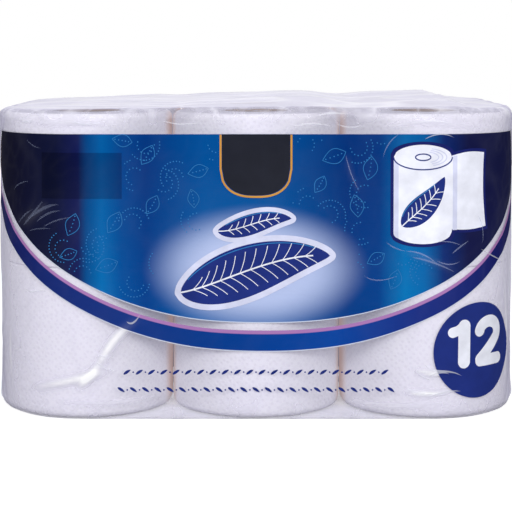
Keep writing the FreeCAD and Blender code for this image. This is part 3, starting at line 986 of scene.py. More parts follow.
@dataclass
class FilmWrap:
    """The printed film: walls, loose top, flat base, folded ends and the long seal below.

    Lengths are metres, but crease_print_top, the height up to which creases lie on print, is
    millimetres, as the creases are.
    """

    shape: PackShape
    stripes: Stripes
    finish: bpy.types.Material
    front_cells: int = 160
    end_cells: int = 100
    wall_rows: int = 104
    fold_half: float = 0.086
    fold_tip_half: float = 0.017
    seal_height: float = 0.102
    long_seal_half: tuple[float, float] = (0.166, 0.009)
    crease_print_top: float = 187.0
    pieces: list[bpy.types.Object] = field(default_factory=list)

    def ring(self) -> np.ndarray:
        """Ways round of one ring of points, from the front left corner's middle to the right.

        Returns:
            Metres from the middle of the front, growing.
        """
        front = self.shape.half_width + self.shape.corner_way / 2
        side = 2 * self.shape.half_depth + self.shape.corner_way
        steps = np.concatenate([np.linspace(0, 2 * front, self.front_cells, endpoint=False),
                                2 * front + np.linspace(0, side, self.end_cells, endpoint=False)])
        return np.concatenate([steps, steps + 2 * front + side]) - front

    def lid(self, ring: np.ndarray) -> np.ndarray:
        """Plan of the top or base: a Coons patch between the ring's four sides.

        Each inside point is the blend of the two facing sides in both directions, less the blend of the
        four corners.

        Args:
            ring: plan points of the ring, starting at the front left corner.

        Returns:
            A grid of x and y, front row first.
        """
        wide, deep = self.front_cells, self.end_cells
        loop = np.vstack([ring, ring[:1]])
        front, right = loop[:wide + 1], loop[wide:wide + deep + 1]
        back = loop[wide + deep:2 * wide + deep + 1][::-1]
        left = loop[2 * wide + deep:][::-1]
        a = np.linspace(0, 1, wide + 1)[None, :, None]
        b = np.linspace(0, 1, deep + 1)[:, None, None]
        sides = (1 - b) * front[None] + b * back[None] + (1 - a) * left[:, None] + a * right[:, None]
        corners = ((1 - a) * (1 - b) * front[0] + a * (1 - b) * front[-1]
                   + (1 - a) * b * back[0] + a * b * back[-1])
        return sides - corners

    def build_bag(self) -> bpy.types.Object:
        """Make the closed skin: a wall swept round the plan, and two patches that share its rims.

        Returns:
            The film's piece.
        """
        shape, ring = self.shape, self.ring()
        heel = shape.heel_up * (1 - np.cos(np.linspace(0, math.pi / 2, 7)))
        shoulder = shape.rim_height - shape.shoulder_down * (1 - np.cos(np.linspace(0, math.pi / 2, 9)))
        middle = np.linspace(heel[-1], shoulder[-1], self.wall_rows - 14)
        heights = np.concatenate([heel[:-1], middle, shoulder[-2::-1]])
        way = np.tile(ring, len(heights))
        height = np.repeat(heights, len(ring))
        walls = shape.wall(way, height)
        bare, facing = shape.plan(ring)
        top_plan = self.lid(bare - shape.shoulder_in * facing).reshape(-1, 2)
        base_plan = self.lid(bare - shape.heel_in * facing).reshape(-1, 2)
        top = np.column_stack([top_plan, shape.top_height(top_plan[:, 0], top_plan[:, 1])])
        base = np.column_stack([base_plan, np.full(len(base_plan), shape.base_height)])
        top, base = shape.draw_in(top), shape.draw_in(base)
        size = (self.end_cells + 1, self.front_cells + 1)
        edge = self.rim_numbers(size)
        top[edge] = walls[-len(ring):]
        base[edge] = walls[:len(ring)]
        points = np.vstack([walls, top, base])
        wall_faces = grid_faces(len(heights), len(ring), closed_columns=True)
        top_faces = grid_faces(*size, first=len(walls))
        base_faces = grid_faces(*size, first=len(walls) + len(top))[:, ::-1]
        numbers = np.arange(len(points))
        numbers[len(walls) + edge] = len(walls) - len(ring) + np.arange(len(ring))
        numbers[len(walls) + len(top) + edge] = np.arange(len(ring))
        faces = numbers[np.vstack([wall_faces, top_faces, base_faces])]
        kept, faces = np.unique(faces, return_inverse=True)
        faces = faces.reshape(-1, 4)
        piece = make_piece("film_bag", points[kept], faces, [self.finish])
        across = np.concatenate([shape.from_face_middle(way), top[:, 0], base[:, 0]])
        upward = np.concatenate([height, np.full(len(top), shape.print_end), np.zeros(len(base))])
        creased = shape.relief(points)[1]
        creased[:len(walls)] += shape.pulled(way, height)[1]
        creased[len(walls):len(walls) + len(top)] = (
            0.40 + 0.34 * shape.top_folds(top_plan[:, 0], top_plan[:, 1]) ** 2)
        add_measure(piece, "across_stripes", self.stripes.share(across, upward)[kept])
        add_measure(piece, "creased", creased[kept])
        add_flat_map(piece, "flat_film", across[kept], upward[kept])
        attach(piece, "root")
        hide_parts("film_wrap")
        return piece

    def rim_numbers(self, size: tuple[int, int]) -> np.ndarray:
        """Numbers of a patch's edge points in the ring's order.

        Args:
            size: the patch's rows and columns.

        Returns:
            Point numbers, front left corner first.
        """
        numbers = np.arange(size[0] * size[1]).reshape(size)
        return np.concatenate([numbers[0, :-1], numbers[:-1, -1], numbers[-1, :0:-1],
                               numbers[:0:-1, 0]])

    def overlay(self, name: str, grids: list[tuple[np.ndarray, np.ndarray]]) -> bpy.types.Object:
        """Make a second thickness of clear film from grids of places.

        Args:
            name: the piece's name.
            grids: places and cloudiness of each flap, row by row.

        Returns:
            The piece.
        """
        points, faces, cloudy, first = [], [], [], 0
        for places, cloud in grids:
            rows, columns = cloud.shape
            points.append(places.reshape(-1, 3))
            cloudy.append(cloud.ravel())
            faces.append(grid_faces(rows, columns) + first)
            first += rows * columns
        piece = make_piece(name, np.vstack(points), np.vstack(faces), [self.finish])
        add_measure(piece, "across_stripes", np.full(first, self.stripes.clear))
        add_measure(piece, "creased", np.concatenate(cloudy))
        add_flat_map(piece, "flat_film", np.full(first, 0.25), np.full(first, self.shape.print_end))
        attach(piece, "root")
        return piece

    def flap(self, middle: float, foot: tuple[float, float], crown: tuple[float, float],
             lift: float) -> tuple[np.ndarray, np.ndarray]:
        """One end flap: a trapezium on the film's end, lifted inside and pressed down at its edges.

        Soft pulls fan out from its narrow edge, and the heat seal there is crimped in fine ridges.

        Args:
            middle: way round to the middle of the end.
            foot: height of the lower edge and half its width.
            crown: height of the upper edge and half its width.
            lift: how far it stands off the film below it.

        Returns:
            A grid of places and one of cloudiness.
        """
        shape = self.shape
        a, b = np.meshgrid(np.linspace(-1, 1, 61), np.linspace(0, 1, 61))
        height, half = (low + (high - low) * b for low, high in zip(foot, crown))
        narrow = b if crown[1] < foot[1] else 1 - b
        inner = (1 - a ** 20) * np.clip(12 * (1 - narrow), 0, 1)
        fan = np.cos(11.0 * a + 2.0 * np.sin(3 * a)) ** 6 * (1 - narrow) ** 0.5
        sealed = bump_at(height, self.seal_height, 0.010) * (np.abs(height - self.seal_height) < 0.011)
        crimp = sealed * 0.5 * (1 + np.cos(2 * math.pi * height / 0.0026))
        out = lift * (0.35 + inner) + 0.0006 * fan * inner + 0.00025 * crimp
        way = (middle + a * half).ravel()
        places, facing = shape.wall(way, height.ravel()), shape.plan(way)[1]
        places[:, :2] += out.ravel()[:, None] * facing
        edge = np.clip((np.abs(a) - 0.965) / 0.035, 0, 1) + bump_at(narrow, 1.0, 0.02)
        cloudy = 0.10 + 0.35 * edge + 0.30 * crimp + 0.25 * fan * inner
        return places.reshape(*a.shape, 3), cloudy

    def build_ends(self) -> bpy.types.Object:
        """Fold the lower flap up and the upper flap down over it, on both ends.

        Returns:
            The folds' piece.
        """
        shape = self.shape
        end = shape.half_width + shape.corner_way + shape.half_depth
        wide, tip = self.fold_half, self.fold_tip_half
        folds = (((0.006, wide), (0.1135, tip), 0.00045), ((0.0915, tip), (0.1985, wide), 0.0009))
        return self.overlay("film_end_folds", [self.flap(middle, *fold)
                                               for middle in (end, end + shape.way_round / 2)
                                               for fold in folds])

    def build_long_seal(self) -> bpy.types.Object:
        """Lay the lapped long seal along the base: a crimped strip 18 mm wide under the film.

        Returns:
            The seal's piece.
        """
        long, wide = self.long_seal_half
        x, y = np.meshgrid(np.linspace(long, -long, 121), np.linspace(-wide, wide, 25))
        ridges = 0.5 * (1 + np.cos(2 * math.pi * y / 0.0018)) * (np.abs(y) < 0.0075)
        z = 0.00022 - 0.00012 * (np.abs(y) < 0.0085) - 0.00006 * ridges
        cloudy = 0.25 + 0.4 * ridges
        return self.overlay("film_long_seal", [(np.stack([x, y, z], -1), cloudy)])

    def build_creases(self) -> list[bpy.types.Object]:
        """Draw the sharp fold lines as narrow white blades, partly stress whitening and partly painted
        glints.

        They look dim over the blue print, and faint over its darkest part at the left.

        Returns:
            The creases' pieces, one for each strength.
        """
        clear, dim, faint = (Motif("film_creases_painted_glint_" + name, None, 0.00046)
                             for name in ("clear", "dim", "faint"))
        for crease in CREASE_GLINTS:
            line = curve_through(list(crease.path), 17)
            across, up = line[8]
            on_blue = up < self.crease_print_top and self.stripes.share(across * MM, up * MM) < 0
            motif = clear if not on_blue else dim if across > 0 else faint
            motif.blade(line, crease.half_width, 0.8, cells=2)
        # Painted glints: milky white film along each crease, dimmer over the print.
        name, over = "polyethylene_film_crease_white_painted_glint", "#c4d2fa"
        return [clear.build(self.shape, CreaseWhiteAndPaintedGlint(name).make()),
                dim.build(self.shape, CreaseWhiteAndPaintedGlint(name + "_over_blue", over, 0.22).make()),
                faint.build(self.shape, CreaseWhiteAndPaintedGlint(name + "_over_black", over, 0.09).make())]

    def build(self) -> None:
        """Make every part of the wrap."""
        self.pieces += [self.build_bag(), self.build_ends(), self.build_long_seal()]
        self.pieces += self.build_creases()


# ---------------------------------------------------------------- printed motifs

class Ink(Enum):
    """Inks of the motifs, in the order in which they lie on each other."""

    SHADOW = PrintInk("navy_ground", "#1b2264")
    GROUND = PrintInk("white_ground", "#eceefa")
    PALE = PrintInk("pale_lavender", "#d3d6ee")
    CHARCOAL = PrintInk("charcoal", "#22242e")
    NAVY = PrintInk("navy", "#20307a")
    SKY = PrintInk("sky_blue", "#2f78b8")
    GOLD = PrintInk("warm_gold", "#c99245")
    WHITE = PrintInk("white", "#e9ebf6")


def ellipse_arc(middle: tuple[float, float], half: tuple[float, float], start: float,
                end: float, count: int) -> np.ndarray:
    """Points along an ellipse between two angles.

    Args:
        middle: the ellipse's middle.
        half: its half width and half height.
        start: first angle, in degrees from the right.
        end: last angle.
        count: how many points.

    Returns:
        One row of two numbers a point.
    """
    angle = np.radians(np.linspace(start, end, count))
    return np.stack([middle[0] + half[0] * np.cos(angle), middle[1] + half[1] * np.sin(angle)], 1)


@dataclass
class Motif:
    """Flat shapes in one ink, in millimetres across and up a printed face, laid on the film."""

    name: str
    ink: Ink | None
    lift: float
    over: float = 0.000003
    overs: int = 9
    patches: list[np.ndarray] = field(default_factory=list)

    def stroke(self, path: np.ndarray, width: float, round_ends: bool = False) -> None:
        """Add a line: the path moved to both sides by half its width along its normal.

        Args:
            path: points of its middle.
            width: its width.
            round_ends: put a round cap on each end.
        """
        sides = np.linspace(-0.5, 0.5, max(2, int(width / 1.5) + 2))[:, None, None]
        self.patches.append(path[None] + sides * width * headings(path)[1][None])
        if round_ends:
            for end in (path[0], path[-1]):
                self.oval((end[0], end[1]), (width / 2, width / 2), 8)

    def oval(self, middle: tuple[float, float], half: tuple[float, float], cells: int) -> None:
        """Add a filled oval: a square grid whose sides are bent out to a circle, then stretched.

        Each number is shortened by the root of one less half the other's square, which gives a disc.

        Args:
            middle: the oval's middle.
            half: its half width and half height.
            cells: cells along each side.
        """
        a, b = np.meshgrid(np.linspace(-1, 1, cells + 1), np.linspace(-1, 1, cells + 1))
        disc = np.stack([a * np.sqrt(1 - b ** 2 / 2), b * np.sqrt(1 - a ** 2 / 2)], -1)
        self.patches.append(np.array(middle) + disc * np.array(half))

    def blade(self, spine: np.ndarray, half_width: float, fullness: float = 0.75, rim: float = 0.0,
              cells: int = 8) -> None:
        """Add a leaf or feather: a spine widened to both sides by a power of a half sine wave.

        Args:
            spine: points from root to tip.
            half_width: half its greatest width.
            fullness: the power, small for a plump blade.
            rim: width of a border round it, as two strokes along its edges.
            cells: cells across it.
        """
        normal = headings(spine)[1]
        share = np.linspace(0, 1, len(spine))
        wide = half_width * np.clip(np.sin(math.pi * share ** 0.85), 0, 1) ** fullness
        sides = np.linspace(-1, 1, cells + 1)[:, None, None]
        self.patches.append(spine[None] + sides * (wide[:, None] * normal)[None])
        if rim > 0:
            for side in (-1, 1):
                self.stroke(spine + side * wide[:, None] * normal, 2 * rim, True)

    def blade_edge(self, spine: np.ndarray, half_width: float, width: float) -> None:
        """Add the outline of a leaf as two thin lines.

        Args:
            spine: points from root to tip.
            half_width: half the leaf's greatest width.
            width: the lines' width.
        """
        out = half_width * np.sin(math.pi * np.linspace(0, 1, len(spine)))[:, None] * headings(spine)[1]
        for edge in (spine + out, spine - out):
            self.stroke(edge, width)

    def dots(self, places: np.ndarray, radius: float) -> None:
        """Add small round dots of nine faces each.

        Args:
            places: one row of two numbers a dot.
            radius: their radius.
        """
        for place in places:
            self.oval((place[0], place[1]), (radius, radius), 3)

    def build(self, shape: PackShape, finish: bpy.types.Material) -> bpy.types.Object:
        """Lay every patch on the front and on the back of the film.

        Patches that cross each other lie a few thousandths of a millimetre apart: each is over the one
        before, and after so many overs the next is down at the motif's own lift again.

        Args:
            shape: the pack's shape.
            finish: the ink's material.

        Returns:
            The motif's piece.
        """
        flat, faces, lifts, first = [], [], [], 0
        for number, patch in enumerate(self.patches):
            rows, columns = patch.shape[:2]
            points = patch.reshape(-1, 2) * MM
            quads = grid_faces(rows, columns)
            one, two, three = points[quads[:, 0]], points[quads[:, 1]], points[quads[:, 2]]
            turn = ((two[:, 0] - one[:, 0]) * (three[:, 1] - one[:, 1])
                    - (two[:, 1] - one[:, 1]) * (three[:, 0] - one[:, 0]))
            quads = np.where(turn[:, None] < 0, quads[:, ::-1], quads)
            flat.append(points)
            faces.append(quads + first)
            lifts.append(np.full(len(points), self.lift + self.over * (number % self.overs)))
            first += len(points)
        flat, faces, lifts = np.vstack(flat), np.vstack(faces), np.concatenate(lifts)
        sides = [shape.wall(flat[:, 0] + start, flat[:, 1], lifts)
                 for start in (0.0, shape.way_round / 2)]
        piece = make_piece(self.name, np.vstack(sides), np.vstack([faces, faces + first]), [finish])
        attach(piece, "root")
        return piece


@dataclass
class PrintedMotifs:
    """The generic drawings on both faces of the film: feathers, tab, roll picture, badge, leaves.

    Lifts are metres and drawings are millimetres. Leaves stay under top_line, and off the drawn boxes
    (left, low, right, high) of the tab, the dark panel, the roll picture and the two feathers.
    """

    shape: PackShape
    stripes: Stripes
    top_line: float = 185.0
    first_lift: float = 0.00014
    next_lift: float = 0.00004
    leaf_dot: float = 0.42
    drawn_boxes: tuple = ((-26, 144, 26, 190), (-142, 144, -85, 177), (84, 112, 157, 190),
                          (-66, 76, 66, 124), (-34, 110, 34, 142))
    motifs: list[Motif] = field(default_factory=list)
    inked: dict[str, Motif] = field(default_factory=dict)

    def start(self, name: str, ink: Ink) -> Motif:
        """Begin a motif one ink step above the ones that lie under it."""
        order = list(Ink).index(ink)
        motif = Motif("print_" + name, ink, self.first_lift + self.next_lift * order)
        self.motifs.append(motif)
        return motif

    def draw_feather(self, spine: np.ndarray, half: float, rim: float) -> None:
        """One feather: a navy vane, white shaft and barbs, a shine inside its upper edge, a pale rim.

        Args:
            spine: points from root to tip.
            half: half the vane's greatest width.
            rim: width of the pale rim, or zero for none.
        """
        if rim > 0:
            self.inked["feather_rims"].blade(spine, half, 0.75, rim, 14)
        self.inked["feathers"].blade(spine, half, 0.75, 0.0, 12)
        barbs = self.inked["feather_barbs"]
        barbs.stroke(spine[:-6], 0.04 * half + 0.35)
        along, normal = headings(spine)
        wide = half * np.sin(math.pi * np.linspace(0, 1, len(spine)) ** 0.85) ** 0.75
        for number in range(6, len(spine) - 8, 4):
            for side in (-1, 1):
                root = spine[number]
                tip = root + side * 0.72 * wide[number] * normal[number] + 0.5 * half * along[number]
                bend = root + side * 0.33 * wide[number] * normal[number] + 0.32 * half * along[number]
                barbs.stroke(curve_through([tuple(root), tuple(bend), tuple(tip)], 7), 0.45)
        inner = (spine + (0.9 * wide)[:, None] * normal)[5:-5]
        self.inked["feather_shine"].stroke(inner, 0.55)

    def draw_feathers(self) -> None:
        """Two feathers on the glow, a large one below and a small one above, and one on the roll."""
        self.inked = {name: self.start(name, ink)
                      for name, ink in (("feather_rims", Ink.PALE), ("feathers", Ink.NAVY),
                                        ("feather_barbs", Ink.WHITE), ("feather_shine", Ink.SKY))}
        self.draw_feather(curve_through([(-49, 85), (-24, 89), (12, 112), (48, 109)], 60), 16.5, 3.8)
        self.draw_feather(curve_through([(-25, 125), (-10, 124), (6, 136), (23, 133)], 40), 6.6, 3.0)
        self.draw_feather(curve_through([(94.5, 128), (102, 136), (114, 142), (122, 160)], 40), 8.0, 0.0)

    def draw_tab(self) -> None:
        """A bare charcoal tab that hangs from the field's upper edge, with a thin warm line below."""
        across = np.linspace(-1, 1, 33)
        foot = 166.0 - 18.0 * (1 - np.abs(across) ** 2.6) ** (1 / 2.2)
        self.start("tab", Ink.CHARCOAL).patches.append(strip_between(22.0 * across, foot, 187.2, 13))
        edge = np.vstack([[(-22.9, 187.0)], np.stack([22.9 * across, foot - 0.9], 1), [(22.9, 187.0)]])
        self.start("tab_rim", Ink.GOLD).stroke(edge, 1.3)

    def draw_roll(self) -> None:
        """A plain standing roll with a loose sheet: white with pale shade, and a broad navy outline."""
        left, right, low, high, flat = 89.0, 127.0, 124.5, 172.5, 8.0
        rim, body, shade, lines = (
            self.start("roll_" + name, ink) for name, ink in
            (("rim", Ink.SHADOW), ("body", Ink.GROUND), ("shade", Ink.PALE), ("lines", Ink.NAVY)))
        middle, half = (left + right) / 2, (right - left) / 2
        a, share = np.linspace(-1, 1, 25)[None, :], np.linspace(0, 1, 24)[:, None]
        bow = flat * np.sqrt(1 - a ** 2)
        sheet = np.linspace(0, 1, 14)[None, :]
        top_edge = high + 1.0 + 1.5 * np.sin(math.pi * sheet) + 1.5 * sheet
        low_edge = low + 1.5 - 1.0 * np.sin(math.pi * sheet) + 1.0 * sheet
        free = 24 + 1.8 * (1 - share) ** 2 - 1.2 * np.sin(math.pi * share)
        for grown, under in ((2.0, rim), (0.0, body)):
            under.patches += [strip_between(middle + (half + grown) * a, low - bow - grown,
                                            high + bow + grown, 24),
                              strip_between(right + (free + grown) * sheet, low_edge - grown,
                                            top_edge + grown, 24)]
        dip = flat * np.sqrt(1 - (1 - 0.17 * sheet) ** 2)
        shade.patches += [strip_between(left + 3.2 * sheet ** 1.5, low - dip, high - dip, 24),
                          strip_between(right + 0.5 + 3.0 * sheet, low + 1 + 0 * sheet,
                                        high + 1 + 0 * sheet, 24)]
        for size in (0.42, 0.56, 0.70):
            shade.stroke(ellipse_arc((middle + 2, high), (half * size, flat * size), -70, 75, 33), 0.7)
        lines.stroke(ellipse_arc((middle, high), (half, flat), 180, 360, 49), 0.8)
        lines.stroke(ellipse_arc((middle, high), (half * 0.26, flat * 0.26), 0, 360, 33), 0.8)

    def draw_badge(self) -> None:
        """A navy oval with the count of rolls, twelve, in plain round figures."""
        self.start("badge", Ink.NAVY).oval((147.5, 45.3), (32.0, 31.8), 36)
        figures = self.start("badge_figures", Ink.WHITE)
        figures.stroke(np.array([(136.4, 38.4), (136.4, 48.0), (136.4, 62.0)]), 8.8, True)
        figures.stroke(np.array([(128.2, 58.2), (132.2, 59.4), (136.4, 62.4)]), 6.8, True)
        bowl = ellipse_arc((156.6, 56.6), (8.4, 7.2), 168, -34, 37)
        slant = curve_through([tuple(bowl[-1]), (159.0, 47.5), (149.0, 39.0)], 18)
        figures.stroke(np.vstack([bowl, slant[1:]]), 8.0, True)
        figures.stroke(curve_through([(149.0, 38.0), (157.0, 38.0), (166.0, 38.0)], 15), 7.8, True)

    def bare(self, places: np.ndarray) -> np.ndarray:
        """Which places of the blue field carry no other drawing.

        Args:
            places: one row of millimetres across and up a place.

        Returns:
            One truth a place.
        """
        across, up = places.T
        inside = (self.stripes.share(across * MM, up * MM) < -0.12) & (up < self.top_line)
        for left, low, right, high in self.drawn_boxes:
            inside &= ~((across > left) & (across < right) & (up > low) & (up < high))
        return inside

    def draw_leaves(self) -> None:
        """Leaf outlines with dotted veins, and curls of dots, scattered over the blue field."""
        lines, points = self.start("leaf_lines", Ink.SKY), self.start("leaf_dots", Ink.SKY)
        draw = np.random.default_rng(5)
        places = [(-122, 122, 70), (-104, 100, 20), (-74, 168, 60), (-72, 126, -30), (-86, 96, 150),
                  (-62, 92, 250), (-44, 162, 15), (-40, 140, 100), (38, 150, 60), (58, 176, 200),
                  (66, 134, 100), (72, 104, 30), (92, 100, 250), (116, 104, 40), (62, 86, 10),
                  (72, 158, 80), (-64, 148, 240), (-34, 178, 200), (40, 176, 330), (-116, 112, 200),
                  (52, 128, 300), (-80, 182, 170), (-96, 124, 60), (-58, 112, 80), (78, 178, 250)]
        taken = np.zeros((0, 2))
        for across, up, lean in places:
            way = math.radians(lean)
            long = draw.uniform(12.0, 16.0)
            tip = (across + long * math.cos(way), up + long * math.sin(way))
            spine = curve_through([(across, up), ((across + tip[0]) / 2 + 1.2, (up + tip[1]) / 2), tip], 25)
            apart = np.linalg.norm(taken - spine[12], axis=1)
            if self.bare(spine).all() and (apart > 14.0).all():
                taken = np.vstack([taken, spine[12]])
                lines.blade_edge(spine, long * 0.30, 0.40)
                points.dots(spine[5:22:4], self.leaf_dot)
            away = np.array([math.cos(way), math.sin(way)])
            curl = np.vstack([ellipse_arc(tuple((across, up) - 8 * away), (10.0, 10.0),
                                          lean + 50, lean + 200, 14),
                              ellipse_arc(tuple((across, up) - 9 * away), (5.5, 5.5),
                                          lean - 10, lean + 190, 9)])
            points.dots(curl[self.bare(curl)], self.leaf_dot)

    def draw_border(self) -> None:
        """Two fine navy rows of small slanted leaves and dots low on the clear film."""
        border = self.start("border", Ink.NAVY)
        for up, first, lean in ((32.4, -84.0, 1.6), (20.6, -88.0, -1.6)):
            for across in np.arange(first, -first + 1, 8.0):
                ends = [(across - 2.4, up - lean), (across, up + 0.4), (across + 2.4, up + lean)]
                border.blade(curve_through(ends, 11), 0.95, cells=3)
                if across + 4 < -first:
                    border.dots(np.array([(across + 4, up)]), 0.55)

    def build(self) -> list[bpy.types.Object]:
        """Draw every motif and lay it on the film.

        Returns:
            The pieces.
        """
        self.draw_feathers()
        self.draw_tab()
        self.draw_roll()
        self.draw_badge()
        self.draw_leaves()
        self.draw_border()
        finishes = {ink: ink.value.make() for ink in Ink}
        return [motif.build(self.shape, finishes[motif.ink]) for motif in self.motifs]


# ---------------------------------------------------------------- rolls and cores

@dataclass
class RoundPart:
    """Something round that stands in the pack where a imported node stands, in metres."""

    node: str
    shape: PackShape
    middle: tuple[float, float]
    foot: float

    def turn(self, ending: str, grid: tuple[np.ndarray, np.ndarray, np.ndarray],
             materials: list[bpy.types.Material],
             slot: str) -> tuple[bpy.types.Object, np.ndarray, np.ndarray]:
        """Make the mesh of a profile carried round the axis, closed both ways.

        Each point is the middle plus its radius along its angle, at its height.

        Args:
            ending: what the piece's name adds to the node's.
            grid: radii, angles and heights, one row for each point of the profile.
            materials: the piece's material slots.
            slot: not used.

        Returns:
            The piece, its places before the wrap draws them in, and its quads with the column where
            the grid closes counted twice, for its map.
        """
        reach, around, height = grid
        rows, columns = reach.shape
        points = np.stack([self.middle[0] + reach * np.cos(around),
                           self.middle[1] + reach * np.sin(around), height], -1).reshape(-1, 3)
        wide = grid_faces(rows, columns + 1, closed_rows=True)
        piece = make_piece(self.node + ending, self.shape.draw_in(points), weld_columns(wide, columns),
                           materials)
        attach(piece, "root")
        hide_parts(self.node)
        return piece, points, wide


@dataclass
class TissueRoll(RoundPart):
    """One wound roll: a soft cylinder, flat where it is pressed on its neighbours."""

    walls: tuple[bool, bool, bool, bool]
    tail: float
    skins: list[bpy.types.Material]
    radius: float = 0.0590
    tail_step: float = 0.0005
    bore: float = 0.0217
    height: float = 0.0995
    low_edge: float = 0.0045
    high_edge: float = 0.0020
    half_pitch: tuple[float, float] = (0.05725, 0.05775)
    turns: int = 160
    sharpness: int = 36
    touch: float = 0.004
    wave: float = 0.00015

    def outline(self, angle: np.ndarray) -> np.ndarray:
        """Outer radius at an angle.

        The web's thickness makes it grow once round from the tail; a flat at each neighbour is a
        straight line at half the pitch, blended into the round by a high-power mean.

        Args:
            angle: radians from the right.

        Returns:
            The radius.
        """
        grown = np.mod(angle - self.tail, 2 * math.pi) / (2 * math.pi)
        radius = self.radius - self.tail_step * grown
        for pressed, facing in zip(self.walls, (0.0, 0.5, 1.0, 1.5)):
            if pressed:
                reach = np.clip(np.cos(angle - facing * math.pi), 1e-3, None)
                flat = (self.half_pitch[int(2 * facing) % 2] - 0.0001) / reach
                radius = (radius ** -self.sharpness + flat ** -self.sharpness) ** (-1 / self.sharpness)
        return radius

    def nearness(self, points: np.ndarray) -> np.ndarray:
        """How near each point is to a neighbour: 1 where they touch, 0 from 4 mm away on.

        Args:
            points: places on the roll.

        Returns:
            One number a point.
        """
        off = points[:, :2] - np.array(self.middle)
        gaps = [np.full(len(points), 1.0)]
        for pressed, way in zip(self.walls, ((1, 0), (0, 1), (-1, 0), (0, -1))):
            if pressed:
                gaps.append(self.half_pitch[abs(way[1])] - off @ np.array(way, float))
        return np.clip(1 - np.min(gaps, axis=0) / self.touch, 0, 1)

    def build(self) -> bpy.types.Object:
        """Carry the roll's profile round: lower end, rounded edge, side, rounded edge, upper end, bore.

        Each run of the profile is a share of the way from bore to side, a distance in from the side,
        and a height. The ends wave gently from turn to turn.

        Returns:
            The roll's piece.
        """
        quarter = np.linspace(0, math.pi / 2, 6)
        into, up = 1 - np.sin(quarter), 1 - np.cos(quarter)
        low, high, top = self.low_edge, self.high_edge, self.height
        share = np.linspace(0, 1, 15)[:-1]
        runs = ((share, low, 0.0), (1.0, low * into, low * up),
                (1.0, 0.0, np.linspace(low, top - high, 16)[1:-1]),
                (1.0, high * into[::-1], top - high * up[::-1]), (share[::-1], high, top),
                (0.0, 0.0, np.linspace(top, 0, 7)[1:-1]))
        part, inset, level = np.hstack([np.stack(np.broadcast_arrays(*run)) for run in runs])
        angle = np.linspace(0, 2 * math.pi, self.turns, endpoint=False) + self.tail + 1e-4
        outer = self.outline(angle)
        reach = part[:, None] * (outer[None] - inset[:, None]) + (1 - part[:, None]) * self.bore
        around = np.broadcast_to(angle, reach.shape)
        ends = ((part > 0) & (part < 1))[:, None]
        inwards = np.where(level > top / 2, -1, 1)[:, None]
        waved = ends * inwards * (self.wave + self.wave * np.sin(reach / 0.0011 + around))
        return self.dress(reach, around, level, part, self.foot + level[:, None] + waved)

    def dress(self, reach: np.ndarray, around: np.ndarray, level: np.ndarray, part: np.ndarray,
              height: np.ndarray) -> bpy.types.Object:
        """Make the mesh, and give its side the embossed web and its ends the cut edge.

        Args:
            reach: grid of radii.
            around: grid of angles.
            level: height of each row above the roll's foot.
            part: share of the way from bore to side of each row.
            height: grid of heights above the floor, with the waves of the ends.

        Returns:
            The roll's piece.
        """
        piece, points, wide = self.turn("_wound", (reach, around, height), self.skins, "tissue")
        columns = reach.shape[1]
        around = np.hstack([around, around[:, :1] + 2 * math.pi])
        reach = np.hstack([reach, reach[:, :1]])
        on_side = (part >= 1)[:, None] & np.ones(columns + 1, bool)
        along = np.where(on_side, around * self.radius, reach * around)
        up = np.where(on_side, level[:, None], reach)
        add_flat_map(piece, "web", along.ravel(), up.ravel(), wide.ravel())
        # The valley measure marks where the tissue material paints warm shade and a glow between touching
        # rolls.
        add_measure(piece, "valley", self.nearness(points))
        kind = np.where((part >= 1) & (np.roll(part, -1) >= 1), 0, 1)
        piece.data.polygons.foreach_set("material_index", np.repeat(kind, columns).astype(np.int32))
        return piece


@dataclass
class BoardCore(RoundPart):
    """The tube inside a roll, round and a little shorter than the web it carries."""

    finish: bpy.types.Material
    outer: float = 0.0213
    wall: float = 0.0010
    height: float = 0.0995
    soft: float = 0.0002
    turns: int = 96

    def build(self) -> bpy.types.Object:
        """Carry the tube's wall, with its edges broken, round its axis.

        Returns:
            The core's piece.
        """
        soft, outer, inner, top = self.soft, self.outer, self.outer - self.wall, self.height
        reach = np.array([inner + soft, outer - soft, outer, outer, outer - soft, inner + soft,
                          inner, inner])
        level = np.array([0, 0, soft, top - soft, top, top, top - soft, soft])
        angle = np.linspace(0, 2 * math.pi, self.turns, endpoint=False)
        around, radius = np.meshgrid(angle, reach)
        height = self.foot + np.broadcast_to(level[:, None], radius.shape)
        piece, _, wide = self.turn("_tube", (radius, around, height), [self.finish], "core_board")
        along = np.append(angle, 2 * math.pi) * outer
        add_flat_map(piece, "web", np.tile(along, len(level)), np.repeat(level, self.turns + 1),
                     wide.ravel())
        return piece


# ---------------------------------------------------------------- stage

